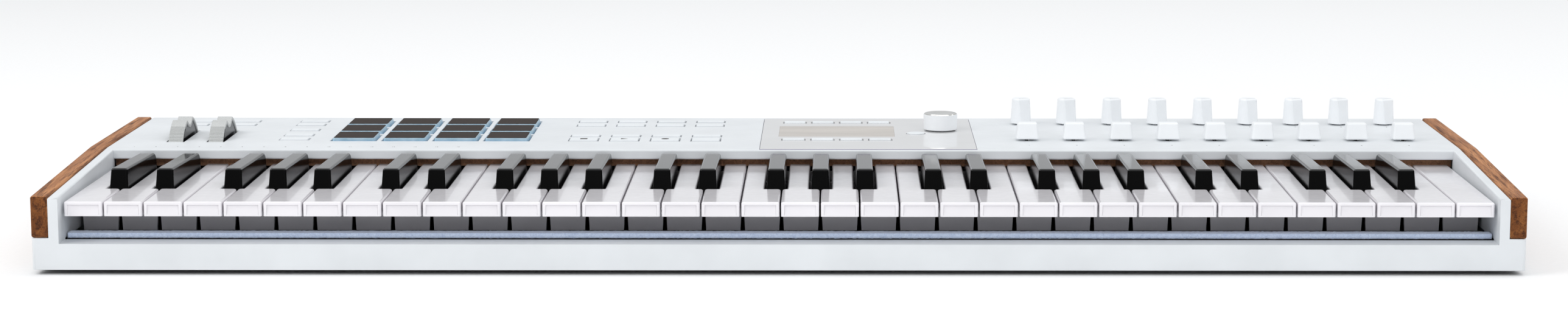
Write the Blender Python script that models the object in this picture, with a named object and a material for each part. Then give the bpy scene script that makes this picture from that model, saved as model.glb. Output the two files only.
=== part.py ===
"""A 61-key synthesizer keyboard controller with wooden cheeks.

Frame: X runs from the low keys to the high keys, -Y faces the player and +Z is up.
The origin is on the table, under the middle of the case. Every size is in millimetres
and is turned into metres where a mesh is made.
"""

import math

import bmesh
import bpy
from mathutils import Matrix

MM = 0.001
FIT = 0.3  # gap between pieces that touch
RUNNING = 0.6  # gap around pieces that move through a cut-out

# ---- case -------------------------------------------------------------------------
CASE_WIDTH = 880.8
CASE_DEPTH = 292.0
FOOT_HEIGHT = 3.0
RAIL_TOP = 18.5  # top of the front rail, the sill below the keys
LEDGE_TOP = 22.0  # shoulder that carries the wooden cheek
PANEL_TOP = 53.2
FRONT_DROP = 7.1  # how much lower the case stands at its front edge
CHEEK_WIDTH = 10.2
CHEEK_PROUD = 0.7
ARM_WALL = 5.9  # white wall between a cheek and the keys
CASE_WALL = 2.5
CASE_ROUND = 2.2
FRONT_RAIL_DEPTH = 16.3
FASCIA_HEIGHT = 6.4

# ---- keys -------------------------------------------------------------------------
OCTAVES = 5
WHITES_PER_OCTAVE = 7
WHITE_PITCH = 23.5
WHITE_GAP = 1.0
WHITE_TOP = 42.6
WHITE_THICK = 8.7
WHITE_FRONT_SETBACK = 7.5  # from the case front to the front of the keys
WHITE_LENGTH = 148.4  # the part that shows
LEG_SETBACK = 44.5  # from the key front to the hanging skirt
LEG_THICK = 3.0
LEG_BOTTOM = 15.6
LEG_TAPER = 1.0  # how much narrower each side of the skirt gets towards its foot
BLACK_SETBACK = 50.0
BLACK_WIDTH = 12.1
BLACK_TOP_WIDTH = 9.8
BLACK_RAISE = 11.5
BLACK_REAR_DROP = 2.4
BLACK_FRONT_SLANT = 4.6
BLACK_LENGTH = 86.5
BLACK_SIDE_GAP = 0.9
BLACK_OFFSETS = {1: -2.1, 2: 2.1, 4: -3.5, 5: 0.0, 6: 3.5}  # by white-key boundary
KEY_AXIS_SETBACK = 160.0
KEY_AXIS_HEIGHT = 35.0
TAIL_TOP = 37.0
TAIL_BOTTOM = 33.0
RAIL_B_FRONT = 153.0
RAIL_A_FRONT = 159.2
WHITE_RAIL_DEPTH = 3.8
WHITE_RAIL_BOTTOM = 25.0
RAIL_A_TOP = 36.4
RAIL_B_TOP = 30.4  # low enough to pass under the tails of the other comb
BLACK_RAIL_DEPTH = 6.0
BLACK_RAIL_RISE = 3.4

# ---- felts and keybed -------------------------------------------------------------
STOP_FELT_SETBACK = 10.0
STOP_FELT_DEPTH = 9.0
STOP_FELT_THICK = 3.2
BACK_FELT_SETBACK = 149.6
BACK_FELT_THICK = 3.0
BACK_FELT_HEIGHT = 5.6
SHEET = 1.2
CHASSIS_SHELF_TOP = 18.7
CHASSIS_RIDGE_TOP = 22.0
CHASSIS_RIDGE_DEPTH = 9.0

# ---- wheels -----------------------------------------------------------------------
WHEEL_RADIUS = 30.3
WHEEL_LOW_RADIUS = 26.0
WHEEL_WIDTH = 9.4
WHEEL_HEIGHT = 35.8
WHEEL_BACK = 197.0  # from the key front plane
WHEEL_X = (-391.7, -366.0)
WHEEL_GRIP_ARC = 104.0  # degrees each side of the top that keep the full radius
WHEEL_NOTCH_HALF = 8.5
WHEEL_NOTCH_DEPTH = 4.0
WHEEL_SLOT_LENGTH = 53.8
AXLE_RADIUS = 2.9
AXLE_CLEAR = 0.35
BRACKET_WALL = 2.0

# ---- pads and buttons -------------------------------------------------------------
PAD_COLUMNS = 4
PAD_ROWS = 3
PAD_SIZE = 28.6
PAD_GAP_X = 4.2
PAD_GAP_Y = 3.7
PAD_CENTRE_X = -228.9
PAD_CENTRE_BACK = 221.9
PAD_RISE = 2.2
PAD_SKIRT = 1.4
MAT_TOP = 49.6
MAT_THICK = 1.2
BUTTON_RISE = 0.6
BUTTON_WIDTH = 18.5
BUTTON_DEPTH = 9.6
LEFT_COLUMN_GAP = 24.6  # from the pads to the middle of the left buttons
LEFT_COLUMN_BACKS = (179.1, 196.9, 220.9, 244.8, 261.4)
OCTAVE_BUTTON_X = (-394.9, -363.2)
OCTAVE_BUTTON_BACKS = (244.8, 261.4)
CENTRE_COLUMNS_X = (-130.2, -103.9, -77.6, -51.3)
CENTRE_ROW_BACKS = (175.6, 194.5, 243.3, 261.0)
CENTRE_ROW_DEPTHS = (14.3, 9.6, 9.6, 9.6)
MAT_EDGE = 3.2

# ---- display plate ----------------------------------------------------------------
PLATE_X = (-15.5, 122.2)
PLATE_FRONT_BACK = 141.6
PLATE_REAR_BACK = 280.0
PLATE_THICK = 1.5
PLATE_PROUD = 0.2
PLATE_LEDGE = 4.0
SCREEN_X = (-4.2, 70.8)
SCREEN_BACKS = (195.8, 243.4)
SCREEN_MODULE_THICK = 5.2
SOFT_BUTTON_WIDTH = 14.6
SOFT_BUTTON_DEPTH = 7.4
SOFT_BUTTON_BACKS = (178.8, 257.7)
SOFT_BUTTON_FIRST_X = 5.3
SOFT_BUTTON_PITCH = 18.7
ROUND_BUTTON = (85.1, 210.2)
ROUND_BUTTON_RADIUS = 5.8
ENCODER_X = 101.7
ENCODER_BACK = 227.0
ENCODER_RADIUS = 11.2
ENCODER_TOP = 64.8
ENCODER_GAP = 1.3
ENCODER_SHAFT_RADIUS = 3.0

# ---- knobs and faders -------------------------------------------------------------
STRIPS = 9
STRIP_CENTRE_X = 278.1
STRIP_PITCH = 30.4
KNOB_BACK = 256.0
KNOB_BASE_RADIUS = 6.9
KNOB_TOP_RADIUS = 5.9
KNOB_TOP = 70.9
KNOB_GAP = 1.0
KNOB_FLAT = 0.72  # share of the radius at which the pointer facet is cut
KNOB_FLAT_TURN = -62.0
SHAFT_RADIUS = 3.0
SHAFT_CLEAR = 0.8
SHAFT_FOOT = 47.2
FADER_REST_BACK = 182.6
FADER_TRAVEL = 30.0
FADER_BASE = (15.0, 13.0)
FADER_TOP = (12.6, 8.6)
FADER_TOP_HEIGHT = 64.8
FADER_GAP = 1.2
FADER_STEM = (1.2, 5.0)
FADER_SLOT_CLEAR = 0.9

# ---- inside and rear --------------------------------------------------------------
BOARD_TOP = 46.5
BOARD_THICK = 1.5
BOARD_X = (-336.0, 424.0)
BOARD_BACKS = (168.0, 274.0)
JACK_X = (168.0, 188.0, 208.0, 228.0)
JACK_HEIGHT = 30.0
JACK_HOLE_RADIUS = 3.4
JACK_COLLAR_RADIUS = 5.6
JACK_DEPTH = 16.0
MIDI_X = (112.0, 140.0)
MIDI_COLLAR_RADIUS = 7.6
MIDI_RECESS_RADIUS = 6.6
MIDI_RECESS = 1.0
JACK_BODY_HALF = 9.0
USB_X = 72.0
USB_SHELL = (9.6, 3.8)
USB_MOUTH = (8.6, 2.8)
USB_BODY_DEPTH = 10.0
SWITCH_X = 36.0
SWITCH_NUB = (4.0, 3.0)
SWITCH_TRAVEL = 4.0
SWITCH_CARRIAGE = (16.0, 6.0, 8.0)
BOTTOM_THICK = 1.2
BOTTOM_RECESS = 0.2
FOOT_RADIUS = 9.0
FOOT_INSET_X = 34.0
FOOT_INSET_Y = 32.0

# ---- derived places ---------------------------------------------------------------
HALF_WIDTH = CASE_WIDTH / 2
FRONT = -CASE_DEPTH / 2
REAR = CASE_DEPTH / 2
KEY_FRONT = FRONT + WHITE_FRONT_SETBACK
CHEEK_INNER = HALF_WIDTH - CHEEK_WIDTH
SLOT_HALF = CHEEK_INNER - ARM_WALL
WHITES = OCTAVES * WHITES_PER_OCTAVE + 1
KEYS_LEFT = -WHITES * WHITE_PITCH / 2
KEY_AXIS_Y = KEY_FRONT + KEY_AXIS_SETBACK
FASCIA_Y = KEY_FRONT + 139.6
BEND_Y = KEY_FRONT + 147.0
RAIL_BACK_Y = FRONT + FRONT_RAIL_DEPTH
SKIN_UNDER = PANEL_TOP - CASE_WALL
WHITE_BOTTOM = WHITE_TOP - WHITE_THICK
BOTTOM_LOW = FOOT_HEIGHT + BOTTOM_RECESS
BOTTOM_TOP = BOTTOM_LOW + BOTTOM_THICK
BLACK_CUT = BLACK_WIDTH / 2 + BLACK_SIDE_GAP
PAD_PITCH_X = PAD_SIZE + PAD_GAP_X
PAD_PITCH_Y = PAD_SIZE + PAD_GAP_Y
PAD_BLOCK_WIDTH = PAD_COLUMNS * PAD_PITCH_X - PAD_GAP_X
LEFT_COLUMN_X = PAD_CENTRE_X - PAD_BLOCK_WIDTH / 2 - LEFT_COLUMN_GAP


def back(distance):
    """Y of a place that lies this far behind the front plane of the keys."""
    return KEY_FRONT + distance


def strip_x(index):
    """X of one knob and fader strip."""
    return STRIP_CENTRE_X + STRIP_PITCH * (index - (STRIPS - 1) / 2)


# ---- materials --------------------------------------------------------------------
def make_material(name, colour, roughness, metallic=0.0):
    """A Principled material of one finish."""
    made = bpy.data.materials.new(name)
    made.use_nodes = True
    shader = made.node_tree.nodes["Principled BSDF"]
    shader.inputs["Base Color"].default_value = (*colour, 1.0)
    shader.inputs["Roughness"].default_value = roughness
    shader.inputs["Metallic"].default_value = metallic
    made.diffuse_color = (*colour, 1.0)
    return made


FINISHES = {
    "white_shell": ((0.82, 0.84, 0.86), 0.42, 0.0),
    "oiled_wood": ((0.36, 0.17, 0.08), 0.5, 0.0),
    "white_key": ((0.86, 0.84, 0.87), 0.18, 0.0),
    "black_key": ((0.012, 0.012, 0.014), 0.14, 0.0),
    "brown_felt": ((0.16, 0.085, 0.05), 0.95, 0.0),
    "pale_felt": ((0.62, 0.68, 0.78), 0.95, 0.0),
    "black_steel": ((0.03, 0.03, 0.035), 0.55, 0.6),
    "silver_rubber": ((0.5, 0.51, 0.5), 0.6, 0.1),
    "pad_silicone": ((0.06, 0.048, 0.043), 0.6, 0.0),
    "button_silicone": ((0.82, 0.84, 0.87), 0.45, 0.0),
    "gloss_plate": ((0.83, 0.84, 0.86), 0.08, 0.0),
    "screen_glass": ((0.47, 0.45, 0.43), 0.2, 0.0),
    "knob_white": ((0.84, 0.86, 0.87), 0.4, 0.0),
    "encoder_metal": ((0.72, 0.73, 0.75), 0.22, 1.0),
    "circuit_board": ((0.02, 0.11, 0.05), 0.5, 0.0),
    "socket_black": ((0.025, 0.025, 0.03), 0.4, 0.0),
    "plated_steel": ((0.6, 0.6, 0.62), 0.3, 1.0),
    "foot_rubber": ((0.03, 0.03, 0.03), 0.85, 0.0),
}


# ---- shape helpers ----------------------------------------------------------------
def add_box(bm, low, high):
    """Add a box between two corners, given in millimetres."""
    size = [(b - a) * MM for a, b in zip(low, high)]
    middle = [(a + b) / 2 * MM for a, b in zip(low, high)]
    place = Matrix.Translation(middle) @ Matrix.Diagonal((*size, 1.0))
    return bmesh.ops.create_cube(bm, size=1.0, matrix=place)["verts"]


def add_round(bm, centre, radius, length, along="Z", sides=20, end_radius=None):
    """Add a round bar or cone. The centre is the middle of its first end."""
    turn = {
        "Z": Matrix.Identity(4),
        "Y": Matrix.Rotation(-math.pi / 2, 4, "X"),
        "X": Matrix.Rotation(math.pi / 2, 4, "Y"),
    }[along]
    place = Matrix.Translation([value * MM for value in centre]) @ turn
    far = radius if end_radius is None else end_radius
    return bmesh.ops.create_cone(
        bm,
        cap_ends=True,
        segments=sides,
        radius1=radius * MM,
        radius2=far * MM,
        depth=length * MM,
        matrix=place @ Matrix.Translation((0, 0, length * MM / 2)),
    )["verts"]


def add_prism(bm, outline, start, length, plane="XY"):
    """Extrude an outline. XY outlines rise along Z, and YZ outlines run along X."""
    if plane == "XY":
        points = [(a * MM, b * MM, start * MM) for a, b in outline]
        step = (0, 0, length * MM)
    else:
        points = [(start * MM, a * MM, b * MM) for a, b in outline]
        step = (length * MM, 0, 0)
    face = bm.faces.new([bm.verts.new(point) for point in points])
    made = bmesh.ops.extrude_face_region(bm, geom=[face])["geom"]
    moved = [item for item in made if isinstance(item, bmesh.types.BMVert)]
    bmesh.ops.translate(bm, vec=step, verts=moved)
    return moved


def finish(name, bm, finish_name=None, origin=(0, 0, 0), smooth=False):
    """Turn a bmesh into an object whose origin is at the given place."""
    bmesh.ops.recalc_face_normals(bm, faces=bm.faces[:])
    place = [value * MM for value in origin]
    bmesh.ops.translate(bm, vec=[-value for value in place], verts=bm.verts[:])
    mesh = bpy.data.meshes.new(name)
    bm.to_mesh(mesh)
    bm.free()
    if smooth:
        mesh.shade_smooth()
        mesh.set_sharp_from_angle(angle=math.radians(35))
    made = bpy.data.objects.new(name, mesh)
    made.location = place
    bpy.context.scene.collection.objects.link(made)
    if finish_name:
        mesh.materials.append(MATERIALS[finish_name])
    else:
        made.hide_render = True
        made.display_type = "WIRE"
    return made


def boolean(body, helper, operation="DIFFERENCE", self_join=False):
    """Join a helper to a body, or cut it out of the body."""
    modifier = body.modifiers.new(helper.name, "BOOLEAN")
    modifier.operation = operation
    modifier.solver = "EXACT"
    modifier.use_self = self_join
    modifier.object = helper
    return modifier


def box_object(name, low, high, finish_name, origin=(0, 0, 0)):
    """A plain box as an object of its own."""
    bm = bmesh.new()
    add_box(bm, low, high)
    return finish(name, bm, finish_name, origin)


def cut_boxes(body, name, boxes):
    """Cut several boxes that don't touch each other out of a body."""
    bm = bmesh.new()
    for low, high in boxes:
        add_box(bm, low, high)
    boolean(body, finish(name, bm))


# ---- windows that the case and the pieces in it share ------------------------------
def button_windows(margin):
    """Plan boxes (x0, x1, y0, y1) of the left and centre buttons, grown by a margin."""
    left = [(LEFT_COLUMN_X, near, BUTTON_DEPTH) for near in LEFT_COLUMN_BACKS]
    left += [(x, near, BUTTON_DEPTH) for x in OCTAVE_BUTTON_X for near in OCTAVE_BUTTON_BACKS]
    rows = list(zip(CENTRE_ROW_BACKS, CENTRE_ROW_DEPTHS))
    centre = [(x, near, depth) for x in CENTRE_COLUMNS_X for near, depth in rows]

    def plan(button):
        x, near, depth = button
        half = BUTTON_WIDTH / 2 + margin
        return x - half, x + half, back(near) - margin, back(near) + depth + margin

    return [plan(button) for button in left], [plan(button) for button in centre]


def soft_button_windows(margin):
    """Plan boxes of the buttons above and below the screen."""
    half = SOFT_BUTTON_WIDTH / 2 + margin
    plans = []
    for near in SOFT_BUTTON_BACKS:
        for index in range(4):
            x = SOFT_BUTTON_FIRST_X + SOFT_BUTTON_PITCH * index
            low = back(near) - margin
            plans.append((x - half, x + half, low, back(near) + SOFT_BUTTON_DEPTH + margin))
    return plans


def pad_centres():
    """Centres of the pads, front row first."""
    for row in range(PAD_ROWS):
        for column in range(PAD_COLUMNS):
            x = PAD_CENTRE_X + PAD_PITCH_X * (column - (PAD_COLUMNS - 1) / 2)
            y = back(PAD_CENTRE_BACK) + PAD_PITCH_Y * (row - (PAD_ROWS - 1) / 2)
            yield x, y


def display_window():
    """Plan of the opening under the display plate."""
    left = PLATE_X[0] + PLATE_LEDGE
    right = PLATE_X[1] - PLATE_LEDGE
    return left, right, back(SOFT_BUTTON_BACKS[0]) - 8.0, back(SOFT_BUTTON_BACKS[1]) + 16.0


# ---- case -------------------------------------------------------------------------
def case_top_at(y):
    """Height of the case's top edge at a distance along its depth."""
    if y >= BEND_Y:
        return PANEL_TOP
    return PANEL_TOP - FRONT_DROP * (BEND_Y - y) / (BEND_Y - FRONT)


def make_top_case():
    """The white moulding: front rail, end arms, fascia, control panel and rear wall."""
    bm = bmesh.new()
    outline = [
        (FRONT, FOOT_HEIGHT),
        (REAR, FOOT_HEIGHT),
        (REAR, PANEL_TOP),
        (BEND_Y, PANEL_TOP),
        (FRONT, case_top_at(FRONT)),
    ]
    add_prism(bm, outline, -CHEEK_INNER, 2 * CHEEK_INNER, plane="YZ")
    body = finish("top_case", bm, "white_shell")

    bm = bmesh.new()
    add_box(bm, (-HALF_WIDTH, FRONT, FOOT_HEIGHT), (HALF_WIDTH, REAR, LEDGE_TOP))
    upright = [edge for edge in bm.edges if abs(edge.verts[0].co.z - edge.verts[1].co.z) > 1e-4]
    bmesh.ops.bevel(
        bm,
        geom=upright,
        offset=CASE_ROUND * MM,
        offset_type="OFFSET",
        segments=3,
        profile=0.5,
        affect="EDGES",
        material=-1,
    )
    boolean(body, finish("case_base_block", bm), "UNION")

    below = FOOT_HEIGHT - 5.0
    inner = HALF_WIDTH - CASE_WALL
    back_wall = REAR - CASE_WALL
    shell = [
        ("rail_hollow", (-inner, FRONT + CASE_WALL), (inner, back_wall), below, RAIL_TOP - CASE_WALL),
        ("ledge_hollow", (-inner, RAIL_BACK_Y), (inner, back_wall), below, LEDGE_TOP - CASE_WALL),
        ("key_well", (-SLOT_HALF, RAIL_BACK_Y), (SLOT_HALF, back_wall - 1.0), below, PANEL_TOP - FASCIA_HEIGHT),
        (
            "panel_hollow",
            (-CHEEK_INNER + CASE_WALL, FASCIA_Y + CASE_WALL),
            (CHEEK_INNER - CASE_WALL, back_wall),
            below,
            SKIN_UNDER,
        ),
        ("key_slot", (-SLOT_HALF, FRONT - 5.0), (SLOT_HALF, FASCIA_Y), RAIL_TOP, PANEL_TOP + 5.0),
    ]
    for name, low, high, bottom, top in shell:
        bm = bmesh.new()
        add_box(bm, (*low, bottom), (*high, top))
        boolean(body, finish(name, bm))
    cut_panel_windows(body)
    cut_rear_windows(body)
    return body


def cut_panel_windows(body):
    """Cut the control panel for its wheels, pads, buttons, plate, knobs and faders."""
    low_z = SKIN_UNDER - 1.0
    high_z = PANEL_TOP + 1.0
    left, centre = button_windows(RUNNING)
    plans = left + centre
    half = PAD_SIZE / 2 + RUNNING
    plans += [(x - half, x + half, y - half, y + half) for x, y in pad_centres()]
    wheel_half = WHEEL_WIDTH / 2 + 1.1
    reach = WHEEL_SLOT_LENGTH / 2
    wheel_y = back(WHEEL_BACK)
    plans += [(x - wheel_half, x + wheel_half, wheel_y - reach, wheel_y + reach) for x in WHEEL_X]
    plans.append(display_window())
    slot_half = FADER_STEM[0] / 2 + FADER_SLOT_CLEAR
    near = back(FADER_REST_BACK) - FADER_STEM[1] / 2 - FADER_SLOT_CLEAR
    far = near + FADER_STEM[1] + FADER_TRAVEL + 2 * FADER_SLOT_CLEAR
    for index in range(STRIPS):
        plans.append((strip_x(index) - slot_half, strip_x(index) + slot_half, near, far))
    cut_boxes(body, "panel_windows", [((a, c, low_z), (b, d, high_z)) for a, b, c, d in plans])

    bm = bmesh.new()
    for index in range(STRIPS):
        centre_point = (strip_x(index), back(KNOB_BACK), low_z)
        add_round(bm, centre_point, SHAFT_RADIUS + SHAFT_CLEAR, high_z - low_z, sides=12)
    boolean(body, finish("knob_holes", bm))

    low = (PLATE_X[0] - FIT, back(PLATE_FRONT_BACK) - FIT, plate_low() - FIT)
    high = (PLATE_X[1] + FIT, back(PLATE_REAR_BACK) + FIT, PANEL_TOP + 1.0)
    cut_boxes(body, "plate_recess", [(low, high)])


def cut_rear_windows(body):
    """Cut the rear wall for the sockets and the power switch."""
    near = REAR - CASE_WALL - 3.0
    depth = CASE_WALL + 6.0
    bm = bmesh.new()
    for x in JACK_X:
        add_round(bm, (x, near, JACK_HEIGHT), JACK_COLLAR_RADIUS + FIT, depth, "Y", 16)
    for x in MIDI_X:
        add_round(bm, (x, near, JACK_HEIGHT), MIDI_COLLAR_RADIUS + FIT, depth, "Y", 16)
    half_x = USB_SHELL[0] / 2 + FIT
    half_z = USB_SHELL[1] / 2 + FIT
    add_box(bm, (USB_X - half_x, near, JACK_HEIGHT - half_z), (USB_X + half_x, near + depth, JACK_HEIGHT + half_z))
    half_z = SWITCH_NUB[1] / 2 + RUNNING
    low_x = SWITCH_X - SWITCH_NUB[0] / 2 - RUNNING
    high_x = low_x + SWITCH_NUB[0] + SWITCH_TRAVEL + 2 * RUNNING
    add_box(bm, (low_x, near, JACK_HEIGHT - half_z), (high_x, near + depth, JACK_HEIGHT + half_z))
    boolean(body, finish("rear_windows", bm))


def make_cheek(name, side):
    """A wooden cheek, with the same slope as the case."""
    inner = side * (CHEEK_INNER + FIT)
    outline = [
        (FRONT, LEDGE_TOP + FIT),
        (REAR - 2.0, LEDGE_TOP + FIT),
        (REAR - 2.0, PANEL_TOP + CHEEK_PROUD),
        (BEND_Y, PANEL_TOP + CHEEK_PROUD),
        (FRONT, case_top_at(FRONT) + CHEEK_PROUD),
    ]
    bm = bmesh.new()
    add_prism(bm, outline, inner, side * (CHEEK_WIDTH - FIT), plane="YZ")
    top = [edge for edge in bm.edges if min(vert.co.z for vert in edge.verts) > (LEDGE_TOP + 5.0) * MM]
    bmesh.ops.bevel(
        bm,
        geom=top,
        offset=0.8 * MM,
        offset_type="OFFSET",
        segments=2,
        profile=0.5,
        affect="EDGES",
        material=-1,
    )
    return finish(name, bm, "oiled_wood", origin=(inner, 0, LEDGE_TOP))


def make_bottom_plate():
    """The steel plate that closes the case from below."""
    inset = CASE_WALL + FIT
    low = (-HALF_WIDTH + inset, FRONT + inset, BOTTOM_LOW)
    high = (HALF_WIDTH - inset, REAR - inset, BOTTOM_TOP)
    return box_object("bottom_plate", low, high, "black_steel")


def make_feet():
    """Four round rubber feet below the bottom plate."""
    for end, x in (("left", -1), ("right", 1)):
        for face, y in (("front", -1), ("rear", 1)):
            centre = (x * (HALF_WIDTH - FOOT_INSET_X), y * (REAR - FOOT_INSET_Y), 0.0)
            bm = bmesh.new()
            tall = BOTTOM_LOW - FIT
            add_round(bm, centre, FOOT_RADIUS - 0.8, tall, sides=20, end_radius=FOOT_RADIUS)
            finish(f"foot_{face}_{end}", bm, "foot_rubber", origin=centre, smooth=True)


# ---- keys -------------------------------------------------------------------------
def white_outline(boundary, last):
    """Plan of one white key. The boundary is the number of white keys before it."""
    x0 = KEYS_LEFT + boundary * WHITE_PITCH + WHITE_GAP / 2
    x1 = x0 + WHITE_PITCH - WHITE_GAP
    in_octave = boundary % WHITES_PER_OCTAVE
    notch_y = KEY_FRONT + BLACK_SETBACK - BLACK_SIDE_GAP
    rear_y = KEY_FRONT + WHITE_LENGTH
    left = BLACK_OFFSETS.get(in_octave) if boundary % WHITES_PER_OCTAVE else None
    right = None if last else BLACK_OFFSETS.get(in_octave + 1)
    tail_x0, tail_x1 = x0, x1
    points = [(x0, KEY_FRONT), (x1, KEY_FRONT)]
    if right is not None:
        tail_x1 = x1 + WHITE_GAP / 2 + right - BLACK_CUT
        points += [(x1, notch_y), (tail_x1, notch_y)]
    points.append((tail_x1, rear_y))
    if left is not None:
        tail_x0 = x0 - WHITE_GAP / 2 + left + BLACK_CUT
        points += [(tail_x0, rear_y), (tail_x0, notch_y), (x0, notch_y)]
    else:
        points.append((x0, rear_y))
    return points, tail_x0, tail_x1, x0, x1


def add_white_key(bm, boundary, rail_front, last=False):
    """One white key: its plate, its hanging skirt and the tail to its hinge rail."""
    points, tail_x0, tail_x1, x0, x1 = white_outline(boundary, last)
    add_prism(bm, points, WHITE_BOTTOM, WHITE_THICK)
    leg_y = KEY_FRONT + LEG_SETBACK
    leg = add_box(bm, (x0, leg_y, LEG_BOTTOM), (x1, leg_y + LEG_THICK, WHITE_BOTTOM + 1.0))
    middle = (x0 + x1) / 2 * MM
    for vert in leg:
        if vert.co.z < (LEG_BOTTOM + 1.0) * MM:
            vert.co.x -= math.copysign(LEG_TAPER * MM, vert.co.x - middle)
    low_x, high_x = tail_x0 + 0.6, tail_x1 - 0.6
    web_y = back(rail_front) + 0.4
    web_end = web_y + WHITE_RAIL_DEPTH - 0.8
    add_box(bm, (low_x, back(WHITE_LENGTH) - 2.0, TAIL_BOTTOM), (high_x, web_end, TAIL_TOP))
    add_box(bm, (low_x + 0.4, web_y, WHITE_RAIL_BOTTOM + 0.5), (high_x - 0.4, web_end - 0.4, TAIL_TOP - 0.5))
    return low_x, high_x


def make_white_comb(name, octave, members, rail_front):
    """White keys that share one moulded hinge rail."""
    bm = bmesh.new()
    first = octave * WHITES_PER_OCTAVE
    alone = len(members) == 1
    spans = [add_white_key(bm, first + member, rail_front, last=alone) for member in members]
    axis = ((spans[0][0] + spans[-1][1]) / 2, KEY_AXIS_Y, KEY_AXIS_HEIGHT)
    comb = finish(name, bm, "white_key", origin=axis)
    rail_bm = bmesh.new()
    rail_y = back(rail_front)
    rail_top = RAIL_A_TOP if rail_front == RAIL_A_FRONT else RAIL_B_TOP
    low = (spans[0][0] + 0.2, rail_y, WHITE_RAIL_BOTTOM)
    add_box(rail_bm, low, (spans[-1][1] - 0.2, rail_y + WHITE_RAIL_DEPTH, rail_top))
    rail = finish(f"{name}_rail", rail_bm, origin=axis)
    boolean(comb, rail, "UNION", self_join=True)
    return comb


def add_black_key(bm, x):
    """One black key: a tapered block with a slanted front and a low tail."""
    front = KEY_FRONT + BLACK_SETBACK
    rear = front + BLACK_LENGTH
    block = add_box(
        bm,
        (x - BLACK_WIDTH / 2, front, WHITE_BOTTOM),
        (x + BLACK_WIDTH / 2, rear, WHITE_TOP + BLACK_RAISE),
    )
    for vert in block:
        if vert.co.z > WHITE_TOP * MM:
            vert.co.x -= math.copysign((BLACK_WIDTH - BLACK_TOP_WIDTH) / 2 * MM, vert.co.x - x * MM)
            if vert.co.y < (front + 1.0) * MM:
                vert.co.y += BLACK_FRONT_SLANT * MM
            else:
                vert.co.z -= BLACK_REAR_DROP * MM
    top = [edge for edge in bm.edges if min(v.co.z for v in edge.verts) > WHITE_TOP * MM]
    own = set(block)
    top = [edge for edge in top if edge.verts[0] in own]
    bmesh.ops.bevel(
        bm,
        geom=top,
        offset=0.9 * MM,
        offset_type="OFFSET",
        segments=1,
        profile=0.5,
        affect="EDGES",
        material=-1,
    )
    low = (x - BLACK_WIDTH / 2 + 0.8, rear - 2.0, TAIL_BOTTOM + 1.2)
    rail_y = KEY_FRONT + RAIL_B_FRONT + 1.0
    add_box(bm, low, (x + BLACK_WIDTH / 2 - 0.8, rail_y + 1.5, TAIL_TOP + 2.2))


def make_black_comb(name, octave):
    """The five black keys of an octave on one hinge rail above the white tails."""
    bm = bmesh.new()
    centres = []
    for boundary, offset in BLACK_OFFSETS.items():
        x = KEYS_LEFT + (octave * WHITES_PER_OCTAVE + boundary) * WHITE_PITCH + offset
        centres.append(x)
        add_black_key(bm, x)
    axis = ((centres[0] + centres[-1]) / 2, KEY_AXIS_Y, KEY_AXIS_HEIGHT)
    comb = finish(name, bm, "black_key", origin=axis)
    rail_bm = bmesh.new()
    rail_y = KEY_FRONT + RAIL_B_FRONT + 1.0
    half = BLACK_WIDTH / 2 - 1.0
    low = (centres[0] - half, rail_y, TAIL_TOP + 1.6)
    high = (centres[-1] + half, rail_y + BLACK_RAIL_DEPTH, TAIL_TOP + 1.6 + BLACK_RAIL_RISE)
    add_box(rail_bm, low, high)
    rail = finish(f"{name}_rail", rail_bm, origin=axis)
    boolean(comb, rail, "UNION", self_join=True)
    return comb


def make_keys():
    """Three combs for each octave, and the highest C by itself."""
    for octave in range(OCTAVES):
        number = octave + 1
        make_white_comb(f"keys_c_e_g_b_octave_{number}", octave, (0, 2, 4, 6), RAIL_A_FRONT)
        make_white_comb(f"keys_d_f_a_octave_{number}", octave, (1, 3, 5), RAIL_B_FRONT)
        make_black_comb(f"keys_black_octave_{number}", octave)
    make_white_comb("key_top_c", OCTAVES, (0,), RAIL_A_FRONT)


def make_felts():
    """The pale felt that the keys land on and the brown felt behind them."""
    near = back(STOP_FELT_SETBACK)
    low_z = CHASSIS_SHELF_TOP + FIT
    low = (-SLOT_HALF + 1.0, near, low_z)
    high = (SLOT_HALF - 1.0, near + STOP_FELT_DEPTH, low_z + STOP_FELT_THICK)
    box_object("key_stop_felt", low, high, "pale_felt")
    near = back(BACK_FELT_SETBACK)
    top = PANEL_TOP - FASCIA_HEIGHT - FIT
    low = (-SLOT_HALF + 1.0, near, top - BACK_FELT_HEIGHT)
    high = (SLOT_HALF - 1.0, near + BACK_FELT_THICK, top)
    box_object("key_back_felt", low, high, "brown_felt")


def make_chassis():
    """The folded steel keybed: stop shelf at the front, hinge ridge at the rear."""
    shelf_y = RAIL_BACK_Y + FIT + 0.2
    drop_y = back(LEG_SETBACK) - 4.0
    floor = BOTTOM_TOP + FIT
    ridge_y = back(RAIL_A_FRONT) + WHITE_RAIL_DEPTH
    ridge_near = ridge_y - CHASSIS_RIDGE_DEPTH
    outline = [
        (shelf_y, CHASSIS_SHELF_TOP - SHEET),
        (drop_y - SHEET, CHASSIS_SHELF_TOP - SHEET),
        (drop_y - SHEET, floor),
        (ridge_y, floor),
        (ridge_y, CHASSIS_RIDGE_TOP),
        (ridge_near, CHASSIS_RIDGE_TOP),
        (ridge_near, CHASSIS_RIDGE_TOP - SHEET),
        (ridge_y - SHEET, CHASSIS_RIDGE_TOP - SHEET),
        (ridge_y - SHEET, floor + SHEET),
        (drop_y, floor + SHEET),
        (drop_y, CHASSIS_SHELF_TOP),
        (shelf_y, CHASSIS_SHELF_TOP),
    ]
    bm = bmesh.new()
    half = SLOT_HALF - 1.0
    add_prism(bm, outline, -half, 2 * half, plane="YZ")
    finish("keybed_chassis", bm, "black_steel")


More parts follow.
